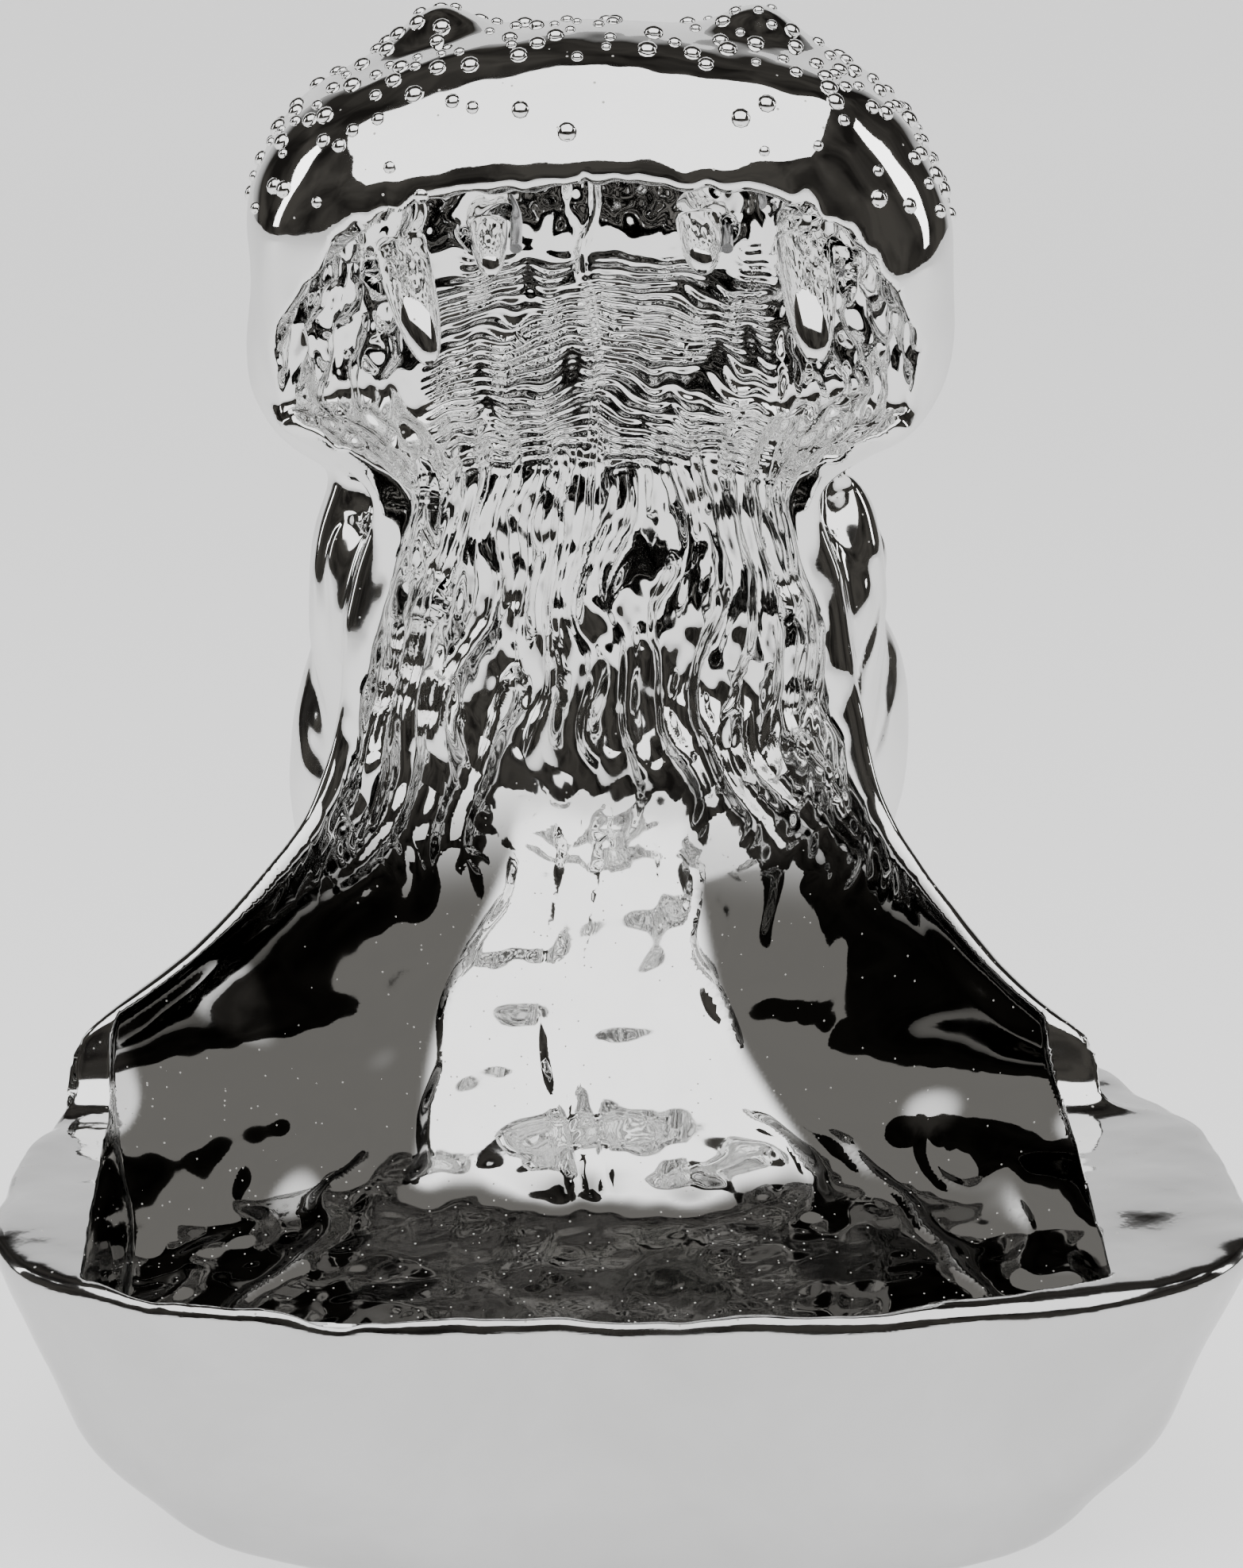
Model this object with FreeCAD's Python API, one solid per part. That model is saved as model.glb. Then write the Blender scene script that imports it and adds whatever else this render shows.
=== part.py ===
"""Mirror-plated hippopotamus head with a wide open mouth, whose lower jaw is a bowl.

The head is made of hollow castings that are bonded together: a lower jaw bowl, a mouth
liner with the cheeks and throat, a neck shell in two halves and a muzzle with its palate.
A tongue, four upper teeth, two ears and two eyes are set into them. A screwed base plate
closes the neck, and rubber feet carry the whole head.

Frame: +Z up, -Y is the way the mouth faces, origin at the bottom centre of the whole head.
The pieces are built about the front of the neck, and CENTRE_SHIFT moves them all to that
origin as they are written. Sizes are in millimetres and angles in degrees.
"""
import FreeCAD
import Part
import math
import os

from FreeCAD import Vector

# ---- driving dimensions -------------------------------------------------------------
JAW_WIDTH = 300.0          # outside width of the lower jaw bowl
JAW_FRONT = 63.0           # from the widest line of the jaw to its front
JAW_REAR = 150.0           # from the widest line of the jaw to its rear end
JAW_WALL = 7.0             # wall of the bowl
RIM_HEIGHT = 77.0          # height of the lip at the front of the bowl
RIM_RISE = 4.3             # slope of the rim towards the corners of the mouth
FLOOR_DEPTH = 45.0         # depth of the bowl's floor under the front lip
FLOOR_CLIMB = 40.0         # how far the floor climbs from the lip to the throat
THROAT_HEIGHT = 231.0      # height at which the throat meets the palate
WAIST_WIDTH = 92.0         # width of the mouth at its narrowest
CHEEK_FLARE = 54.0         # height over which the cheeks spread out towards the bowl
GAPE = 65.0                # lean of the upper jaw above the horizontal
MUZZLE_WIDTH = 174.0       # outside width of the upper lip
MUZZLE_LENGTH = 104.0      # length of the muzzle along the upper jaw
MUZZLE_THICKNESS = 64.0    # from the lip to the bridge of the nose
LIP = 10.0                 # thickness of the upper lip
SKIN_WALL = 6.0            # wall of the neck, muzzle and mouth castings
NECK_WIDTH = 146.0         # width of the neck behind the cheeks
NECK_DEPTH = 148.0         # from the front of the neck to its back
NOSTRIL_SIZE = (16.0, 23.0, 13.0)  # swelling around each nostril
NOSTRIL_SPACING = 76.0

FOOT_HEIGHT = 2.0          # rubber foot below the castings
FOOT_RADIUS = 9.0
FOOT_RECESS = 1.5          # how deep a foot sits in its pocket
CLEARANCE = 0.3            # gap around pieces that are set into a pocket
BASE_PLATE = 4.0           # thickness of the base plate
SCREW_RADIUS = 2.0         # base screw shank
SCREW_HEAD_RADIUS = 3.8
SCREW_HEAD_HEIGHT = 2.2
SCREW_LENGTH = 16.0
SCREW_GAP = 0.1            # between a screw and its hole
BOSS_RADIUS = 6.5          # post in the neck that takes a base screw
BOSS_HEIGHT = 20.0
CANINE_RADIUS = 7.0
CANINE_LENGTH = 31.0       # from the gum to the tip
CANINE_PLACE = (60.0, 50.0)     # along the jaw, and out from the middle
INCISOR_RADIUS = 5.6
INCISOR_LENGTH = 16.0
INCISOR_PLACE = (67.0, 26.0)
TOOTH_LEAN = 0.22          # how far a tooth curves back, as a share of its length
PIN_RADIUS = 1.5           # steel pin that holds a tooth or an ear
PIN_LENGTH = 18.0
TONGUE_THICKNESS = 9.0
TONGUE_ROOT_WIDTH = 46.0
TONGUE_TIP_WIDTH = 104.0
TONGUE_HEIGHT = 78.0
EAR_WIDTH = 30.0
EAR_LENGTH = 36.0
EAR_THICKNESS = 13.0
EAR_HEIGHT = 178.0
EAR_ANGLE = 46.0           # round the neck from its back
EYE_RADIUS = 10.0
EYE_HEIGHT = 220.0
EYE_ANGLE = 52.0

# ---- places that follow from them -----------------------------------------------------
JAW_LINE_Y = -100.0                                # widest line of the jaw
JAW_FRONT_Y = JAW_LINE_Y - JAW_FRONT
RIM_SLOPE = math.tan(math.radians(RIM_RISE))
CHEEK_Y = JAW_LINE_Y + 58.0                        # where the cheeks leave the rim
CHEEK_Z = RIM_HEIGHT + (CHEEK_Y - JAW_FRONT_Y) * RIM_SLOPE
CHEEK_SPAN = THROAT_HEIGHT - CHEEK_Z
FLOOR_Z = RIM_HEIGHT - FLOOR_DEPTH                 # floor of the bowl at its front
TONGUE_Z = FLOOR_Z + FLOOR_CLIMB                   # floor of the bowl at the throat
THROAT_Y = 44.0                                    # deepest line of the mouth at the palate
THROAT_EDGE_Y = 4.0                                # front edge of the mouth at the palate
JAW_ORIGIN = Vector(0.0, THROAT_Y - 19.0, THROAT_HEIGHT)
JAW_AXIS = Vector(0.0, -math.cos(math.radians(GAPE)), math.sin(math.radians(GAPE)))
JAW_UP = Vector(0.0, math.sin(math.radians(GAPE)), math.cos(math.radians(GAPE)))
ACROSS = Vector(1.0, 0.0, 0.0)
MUZZLE_START = 8.0                                 # rear of the lip lobes along the jaw
MUZZLE_MID = MUZZLE_START + 0.5 * MUZZLE_LENGTH
MUZZLE_LIFT = 0.5 * MUZZLE_THICKNESS - 6.0         # middle of the muzzle above the lip
MUZZLE_BLUNTNESS = 2.8                             # 2 is round, more is squarer
PALATE_TOP = JAW_ORIGIN.z + (MUZZLE_START + MUZZLE_LENGTH - 1.6 * LIP) * JAW_AXIS.z
PALATE_SPAN = PALATE_TOP - THROAT_HEIGHT
NECK_FRONT_Y = -4.0
NECK_BACK_Y = NECK_FRONT_Y + NECK_DEPTH
NECK_TOP = THROAT_HEIGHT + 78.0                    # inside the muzzle
JAW_FEET = (56.0, -112.0)                          # out from the middle, and Y
NECK_FEET = (42.0, NECK_BACK_Y - 38.0)
SCREW_ANGLES = (28.0, 68.0)                        # round the neck from its back
CENTRE_SHIFT = Vector(0.0, -0.5 * (JAW_FRONT_Y + 0.8 + NECK_BACK_Y), 0.0)
JAW_CORNER = 2.9                                   # 2 is round, more is squarer
NECK_CORNER = 2.35
FAR = 400.0                                        # beyond every piece


# ---- helpers ------------------------------------------------------------------------
def signed_power(value, exponent):
    """The power of a number that keeps its sign."""
    return math.copysign(abs(value) ** exponent, value)


def blend(stations, place):
    """A smooth value between (place, value) stations, held flat past the ends."""
    if place <= stations[0][0]:
        return stations[0][1]
    for (start, first), (end, last) in zip(stations, stations[1:]):
        if place <= end:
            t = (place - start) / (end - start)
            return first + (last - first) * t * t * (3.0 - 2.0 * t)
    return stations[-1][1]


def line(stations, place):
    """A straight-line value between (place, value) stations, held flat past the ends."""
    if place <= stations[0][0]:
        return stations[0][1]
    for (start, first), (end, last) in zip(stations, stations[1:]):
        if place <= end:
            return first + (last - first) * (place - start) / (end - start)
    return stations[-1][1]


def ring(half_width, front, back, front_power, back_power, count=28):
    """Points of an egg-shaped outline about its widest line, as (x, y).

    A power of 2 is an ellipse, and more is squarer.
    """
    points = []
    for i in range(count):
        angle = 2.0 * math.pi * i / count
        ahead = math.cos(angle) < 0.0
        reach = front if ahead else back
        share = 2.0 / (front_power if ahead else back_power)
        points.append((half_width * signed_power(math.sin(angle), share),
                       reach * signed_power(math.cos(angle), share)))
    return points


def closed_wire(points):
    """A smooth closed wire through the points."""
    curve = Part.BSplineCurve()
    curve.interpolate(Points=points, PeriodicFlag=True)
    return Part.Wire([curve.toShape()])


def level_wire(outline, centre_y, z):
    """A closed wire at one height from (x, y) points about centre_y."""
    return closed_wire([Vector(x, y + centre_y, z) for x, y in outline])


def in_jaw(x, along, up):
    """A point given across, along and above the upper jaw."""
    return JAW_ORIGIN + ACROSS * x + JAW_AXIS * along + JAW_UP * up


def jaw_placement(x, along, up):
    """A placement with X across, Y along and Z above the upper jaw."""
    where = in_jaw(x, along, up)
    return FreeCAD.Placement(FreeCAD.Matrix(1, 0, 0, where.x,
                                            0, JAW_AXIS.y, JAW_UP.y, where.y,
                                            0, JAW_AXIS.z, JAW_UP.z, where.z, 0, 0, 0, 1))


def loft(wires):
    """A solid through the wires."""
    return Part.makeLoft(wires, True, False)


def slab(low_z, high_z):
    """Everything between two heights."""
    return Part.makeBox(2.0 * FAR, 2.0 * FAR, high_z - low_z, Vector(-FAR, -FAR, low_z))


def half_space(point, normal):
    """A large block whose face passes through point, filling the way normal points."""
    block = Part.makeBox(2.0 * FAR, 2.0 * FAR, 2.0 * FAR, Vector(-FAR, -FAR, 0.0))
    block.Placement = FreeCAD.Placement(point, FreeCAD.Rotation(Vector(0, 0, 1), normal))
    return block


def rod(start, direction, length, radius):
    """A round bar."""
    return Part.makeCylinder(radius, length, start, direction)


def ball(centre, radius):
    """A full sphere."""
    return Part.makeSphere(radius, centre)


def largest(shape):
    """The largest solid of a shape, without the crumbs of a cut."""
    return max(shape.Solids, key=lambda solid: solid.Volume)


# ---- master shapes, which the castings share --------------------------------------------
def jaw_share(height):
    """Width of the jaw at a height above its underside, as a share of the full width."""
    return line(((0.0, 0.50), (4.0, 0.66), (12.0, 0.745), (26.0, 0.84), (44.0, 0.905),
                 (66.0, 0.965), (92.0, 1.0)), height * 77.0 / RIM_HEIGHT)


def jaw_hull(inset):
    """The outside of the lower jaw, or its hollow when inset by a wall."""
    wires = []
    for level in (0.0, 0.05, 0.15, 0.33, 0.57, 0.86, 1.2, 1.6):
        z = FOOT_HEIGHT + level * RIM_HEIGHT
        share = jaw_share(level * RIM_HEIGHT)
        narrow = 1.0 - 0.75 * (1.0 - share)
        outline = ring(0.5 * JAW_WIDTH * share - inset, JAW_FRONT * narrow - inset,
                       JAW_REAR * narrow - inset, JAW_CORNER, 2.0)
        wires.append(level_wire(outline, JAW_LINE_Y, z + (inset if level == 0.0 else 0.0)))
    return loft(wires)


def floor_block(drop):
    """Everything under the floor of the bowl, lowered by drop."""
    stations = ((-FAR, 0.0), (JAW_FRONT_Y + 10.0, 0.0), (JAW_LINE_Y, 0.24),
                (THROAT_Y - 54.0, 0.95), (THROAT_Y, 1.0), (FAR, 1.0))
    points = [Vector(-FAR, y, FLOOR_Z + FLOOR_CLIMB * rise - drop) for y, rise in stations]
    top = Part.BSplineCurve()
    top.buildFromPoles(points, False, 2)
    corners = [points[-1], Vector(-FAR, FAR, -FAR), Vector(-FAR, -FAR, -FAR), points[0]]
    sides = [Part.LineSegment(a, b).toShape() for a, b in zip(corners, corners[1:])]
    face = Part.Face(Part.Wire([top.toShape()] + sides))
    return face.extrude(Vector(2.0 * FAR, 0.0, 0.0))


def above_rim(drop):
    """Everything above the sloping rim of the bowl, lowered by drop."""
    normal = Vector(0.0, -RIM_SLOPE, 1.0).normalize()
    return half_space(Vector(0.0, JAW_FRONT_Y, RIM_HEIGHT - drop), normal)


def mouth_half(z):
    """Half-width of the mouth at a height."""
    waist = 0.5 * WAIST_WIDTH
    inside = 0.5 * MUZZLE_WIDTH - 0.6 * LIP
    if z <= CHEEK_Z:
        return 0.5 * JAW_WIDTH * jaw_share(z - FOOT_HEIGHT - 4.0) - JAW_WALL
    if z <= THROAT_HEIGHT:
        spread = math.exp(-((z - CHEEK_Z) / CHEEK_FLARE) ** 1.2)
        return waist + (0.5 * JAW_WIDTH - JAW_WALL - waist) * spread
    return blend(((0.0, waist), (0.14, waist + 10.0), (0.4, inside), (0.55, inside - 3.0),
                  (0.8, 0.8 * inside), (1.0, 0.55 * inside)),
                 (z - THROAT_HEIGHT) / PALATE_SPAN)


def mouth_edge(z):
    """Where the mouth castings end at the front, at a height."""
    part = (z - THROAT_HEIGHT) / PALATE_SPAN
    if part <= 0.0:
        return blend(((CHEEK_Z, CHEEK_Y), (CHEEK_Z + 0.55 * CHEEK_SPAN, 0.0),
                      (THROAT_HEIGHT, THROAT_EDGE_Y)), z)
    lean = (z - THROAT_HEIGHT) / math.tan(math.radians(GAPE))
    return THROAT_EDGE_Y + 2.0 * part - 0.54 * lean * math.sqrt(part)


def mouth_deep(z):
    """The deepest line of the mouth at a height."""
    if z <= THROAT_HEIGHT:
        return blend(((CHEEK_Z - 24.0, THROAT_Y - 60.0),
                      (CHEEK_Z + 0.32 * CHEEK_SPAN, THROAT_Y - 6.0),
                      (CHEEK_Z + 0.72 * CHEEK_SPAN, THROAT_Y + 4.0),
                      (THROAT_HEIGHT, THROAT_Y)), z)
    return THROAT_Y - 0.88 * (z - THROAT_HEIGHT) / math.tan(math.radians(GAPE))


def mouth_corner(z):
    """How square the back of the mouth is at a height; 2 is round."""
    return blend(((CHEEK_Z, 3.0), (CHEEK_Z + 0.35 * CHEEK_SPAN, 2.0)), z)


def mouth_line(z):
    """The widest line of the mouth at a height."""
    return blend(((CHEEK_Z, JAW_LINE_Y), (CHEEK_Z + 0.5 * CHEEK_SPAN, -22.0),
                  (THROAT_HEIGHT, THROAT_EDGE_Y - 10.0), (PALATE_TOP, -30.0)), z)


def mouth_space(grow):
    """The hollow of the bowl, mouth and palate, grown outwards by a wall."""
    low = FLOOR_Z - 20.0
    levels = [low + (CHEEK_Z - low) * part for part in (0.0, 0.12, 0.3, 0.55, 0.8)]
    levels += [CHEEK_Z + CHEEK_SPAN * part for part in (0.0, 0.1, 0.22, 0.36, 0.52, 0.7, 0.86)]
    levels += [THROAT_HEIGHT + PALATE_SPAN * part for part in (0.0, 0.15, 0.32, 0.5, 0.68,
                                                               0.85, 1.0)]
    wires = []
    for z in levels:
        narrow = 1.0 - 0.75 * (1.0 - jaw_share(z - FOOT_HEIGHT - 4.0))
        front = JAW_FRONT * narrow - JAW_WALL
        rear = mouth_deep(z) - mouth_line(z)
        end = {levels[0]: -grow, levels[-1]: grow}.get(z, 0.0)
        outline = ring(mouth_half(z) + grow, front + grow, rear + grow, JAW_CORNER,
                       mouth_corner(z))
        wires.append(level_wire(outline, mouth_line(z), z + end))
    return loft(wires).cut(floor_block(grow))


def ahead_of_cheeks():
    """Everything in front of the edges of the mouth castings."""
    low = CHEEK_Z - 30.0
    high = PALATE_TOP + 30.0
    points = [Vector(-FAR, mouth_edge(low + (high - low) * i / 14.0),
                     low + (high - low) * i / 14.0) for i in range(15)]
    edge = Part.BSplineCurve()
    edge.interpolate(Points=points)
    corners = [points[-1], Vector(-FAR, -FAR, high), Vector(-FAR, -FAR, low), points[0]]
    sides = [Part.LineSegment(a, b).toShape() for a, b in zip(corners, corners[1:])]
    face = Part.Face(Part.Wire([edge.toShape()] + sides))
    return face.extrude(Vector(2.0 * FAR, 0.0, 0.0))


def neck_section(height):
    """Half-width, front and back of the neck at a height."""
    neck = 0.5 * NECK_WIDTH
    top = 0.5 * WAIST_WIDTH
    half = blend(((0.0, neck + 8.0), (50.0, neck + 24.0), (88.0, neck + 18.0),
                  (125.0, neck + 4.0), (170.0, neck - 1.0), (196.0, neck - 5.0),
                  (214.0, neck - 11.0), (228.0, top + 10.0), (270.0, top + 8.0),
                  (306.0, top - 6.0)), height)
    front = NECK_FRONT_Y + blend(((0.0, 0.0), (84.0, -8.0), (190.0, 4.0)), height)
    back = NECK_BACK_Y + blend(((0.0, -6.0), (55.0, 0.0), (120.0, -3.0), (168.0, -14.0),
                                (210.0, -42.0), (260.0, -74.0), (305.0, -108.0)), height)
    return half, front, back


def neck_bulk(inset):
    """The neck and cranium behind the mouth, inset by a wall when hollowed."""
    wires = []
    levels = 9
    for i in range(levels + 1):
        height = (NECK_TOP - FOOT_HEIGHT) * i / levels
        half, front, back = neck_section(height)
        middle = front + 0.46 * (back - front)
        outline = ring(half - inset, middle - front - inset, back - middle - inset,
                       NECK_CORNER, NECK_CORNER)
        wires.append(level_wire(outline, middle, FOOT_HEIGHT + height))
    return loft(wires)


def neck_point(height, angle, inset):
    """A point inset from the neck's surface, at an angle round from its back."""
    half, front, back = neck_section(height)
    middle = front + 0.46 * (back - front)
    turn = math.radians(angle)
    return Vector((half - inset) * signed_power(math.sin(turn), 2.0 / NECK_CORNER),
                  middle + (back - middle - inset) * signed_power(math.cos(turn), 2.0 / NECK_CORNER),
                  FOOT_HEIGHT + height)


def muzzle_body(inset):
    """The muzzle: wide, blunt and thick, closed at both ends."""
    wires = []
    steps = 9
    for i in range(steps + 1):
        t = -0.985 + 1.97 * i / steps
        share = (1.0 - abs(t) ** MUZZLE_BLUNTNESS) ** (1.0 / MUZZLE_BLUNTNESS)
        half = (0.5 * MUZZLE_WIDTH - inset) * share
        thick = (0.5 * MUZZLE_THICKNESS - inset) * (0.15 + 0.85 * share)
        along = MUZZLE_MID + (0.5 * MUZZLE_LENGTH - inset) * t
        wires.append(closed_wire([in_jaw(x, along, MUZZLE_LIFT + y)
                                  for x, y in ring(half, thick, thick, 2.6, 2.6)]))
    return loft(wires)


def nostril(side, share):
    """The swelling around one nostril, or its hollow when share is less than 1."""
    across, along, up = [size * share for size in NOSTRIL_SIZE]
    body = ball(Vector(0, 0, 0), 1.0).transformGeometry(FreeCAD.Matrix(
        across, 0, 0, 0, 0, along, 0, 0, 0, 0, up, 0, 0, 0, 0, 1))
    body.Placement = jaw_placement(side * 0.5 * NOSTRIL_SPACING,
                                   MUZZLE_MID + 0.34 * MUZZLE_LENGTH,
                                   MUZZLE_LIFT + 0.35 * MUZZLE_THICKNESS)
    return body


# ---- pieces ---------------------------------------------------------------------------
def gum_point(place, side):
    """Where a tooth stands on the palate."""
    along, out = place
    for step in range(240):
        point = in_jaw(side * out, along, 40.0 - 0.25 * step)
        line = mouth_line(point.z)
        share = min(abs(point.x) / mouth_half(point.z), 1.0)
        if point.y <= line + (mouth_deep(point.z) - line) * math.sqrt(1.0 - share * share):
            return point
    raise ValueError("the tooth stands beside the palate")


def tooth(place, side, radius, length):
    """A tapered tooth that curves back, with its foot sunk into its socket."""
    base = gum_point(place, side) + JAW_UP * SKIN_WALL * 0.5
    whole = length + SKIN_WALL * 0.5
    steps = 6
    wires = []
    for i in range(steps + 1):
        t = i / steps
        width = radius * (1.0 - 0.8 * t ** 2.4)
        centre = base - JAW_UP * (whole * t) - JAW_AXIS * (TOOTH_LEAN * whole * t * t)
        wires.append(closed_wire([centre + ACROSS * (width * math.cos(math.pi * k / 6.0))
                                  + JAW_AXIS * (width * math.sin(math.pi * k / 6.0))
                                  for k in range(12)]))
    return loft(wires)


def tooth_pin(place, side):
    """The steel pin through the palate into a tooth."""
    return rod(gum_point(place, side) + JAW_UP * (SKIN_WALL + 3.0), -1.0 * JAW_UP,
               PIN_LENGTH, PIN_RADIUS)


def ear_frame(side):
    """Foot, direction and facing of an ear."""
    foot = neck_point(EAR_HEIGHT, EAR_ANGLE, 4.0)
    foot.x *= side
    direction = Vector(side * 0.62, 0.42, 0.66).normalize()
    facing = Vector(side * 0.45, -0.89, 0.14)
    facing = (facing - direction * facing.dot(direction)).normalize()
    return foot, direction, facing


def ear(side):
    """A small round ear with a scooped front."""
    foot, direction, facing = ear_frame(side)
    across = direction.cross(facing)
    wires = []
    steps = 7
    for i in range(steps + 1):
        t = i / steps
        share = 0.42 + 0.58 * math.sin(math.pi * min(0.12 + 0.84 * t, 1.0)) ** 0.8
        if t > 0.6:
            share *= math.sqrt(1.0 - ((t - 0.6) / 0.43) ** 2)
        centre = foot + direction * (EAR_LENGTH * t)
        wires.append(closed_wire([centre
                                  + across * (0.5 * EAR_WIDTH * share * math.cos(a))
                                  + facing * (0.5 * EAR_THICKNESS * share ** 0.6 * math.sin(a))
                                  for a in [math.pi * k / 6.0 for k in range(12)]]))
    body = loft(wires)
    scoop = ball(Vector(0, 0, 0), 1.0).transformGeometry(FreeCAD.Matrix(
        0.34 * EAR_WIDTH, 0, 0, 0, 0, 0.36 * EAR_LENGTH, 0, 0,
        0, 0, 0.42 * EAR_THICKNESS, 0, 0, 0, 0, 1))
    centre = foot + direction * (0.58 * EAR_LENGTH) + facing * (0.5 * EAR_THICKNESS)
    scoop.Placement = FreeCAD.Placement(
        FreeCAD.Matrix(across.x, direction.x, facing.x, centre.x,
                       across.y, direction.y, facing.y, centre.y,
                       across.z, direction.z, facing.z, centre.z, 0, 0, 0, 1))
    return body.cut(scoop)


def ear_pin(side):
    """The steel pin from an ear into the neck shell."""
    foot, direction, _ = ear_frame(side)
    return rod(foot - direction * 0.5 * PIN_LENGTH, direction, PIN_LENGTH, PIN_RADIUS)


def eye(side):
    """An eyeball."""
    centre = neck_point(EYE_HEIGHT, EYE_ANGLE, 3.5)
    centre.x *= side
    return ball(centre, EYE_RADIUS)


def tongue_body():
    """The tongue's outline, before it is fitted to the back of the mouth."""
    wires = []
    steps = 5
    for i in range(steps + 1):
        t = i / steps
        z = TONGUE_Z - 8.0 + TONGUE_HEIGHT * t
        half = 0.5 * (TONGUE_TIP_WIDTH + (TONGUE_ROOT_WIDTH - TONGUE_TIP_WIDTH) * t ** 0.8)
        thick = TONGUE_THICKNESS * (1.0 - 0.35 * t)
        deep = mouth_deep(z)
        wires.append(level_wire(ring(half, thick, thick, 2.0, 2.0), deep - 0.5, z))
    return loft(wires)


def foot_places():
    """Centres of the four feet, on the floor."""
    return [Vector(side * x, y, 0.0) for x, y in (JAW_FEET, NECK_FEET) for side in (-1, 1)]


def screw_places():
    """Axes of the base screws, at the underside of the castings."""
    places = []
    for angle in SCREW_ANGLES:
        for side in (-1, 1):
            point = neck_point(0.0, angle, SKIN_WALL + BOSS_RADIUS - 1.5)
            places.append(Vector(side * point.x, point.y, FOOT_HEIGHT))
    return places


def feet(extra):
    """The four rubber feet, or their pockets with extra room."""
    up = Vector(0, 0, 1)
    height = FOOT_HEIGHT + FOOT_RECESS
    return [rod(place, up, height, FOOT_RADIUS + extra) for place in foot_places()]


def screws():
    """Base screws with flat heads, heads down."""
    up = Vector(0, 0, 1)
    start = Vector(0, 0, 0.5)
    made = []
    for place in screw_places():
        head = rod(place + start, up, SCREW_HEAD_HEIGHT, SCREW_HEAD_RADIUS)
        slot = Part.makeBox(2.0 * SCREW_HEAD_RADIUS, 1.0, 1.0,
                            place + start - Vector(SCREW_HEAD_RADIUS, 0.5, 0.0))
        made.append(head.fuse(rod(place + start, up, SCREW_LENGTH, SCREW_RADIUS)).cut(slot))
    return made


def base_plate():
    """The plate that closes the neck, with its screw holes and foot pockets."""
    plate = neck_bulk(SKIN_WALL + CLEARANCE).common(slab(FOOT_HEIGHT, FOOT_HEIGHT + BASE_PLATE))
    plate = largest(plate.cut(jaw_hull(-CLEARANCE)))
    up = Vector(0, 0, 1)
    for place in screw_places():
        plate = plate.cut(rod(place, up, BASE_PLATE, SCREW_RADIUS + SCREW_GAP))
        plate = plate.cut(rod(place, up, SCREW_HEAD_HEIGHT + 0.5,
                              SCREW_HEAD_RADIUS + CLEARANCE))
    for pocket in feet(CLEARANCE):
        plate = plate.cut(pocket)
    return plate


def write(name, shapes):
    """Writes one node's solids, after checking them."""
    solids = [solid for shape in shapes for solid in shape.Solids]
    if not solids or not all(solid.isValid() and solid.Volume > 0.0 for solid in solids):
        raise ValueError("node %s is not made of valid solids" % name)
    node = Part.makeCompound(solids)
    node.translate(CENTRE_SHIFT)
    node.exportStep("parts/%s.step" % name)


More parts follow.
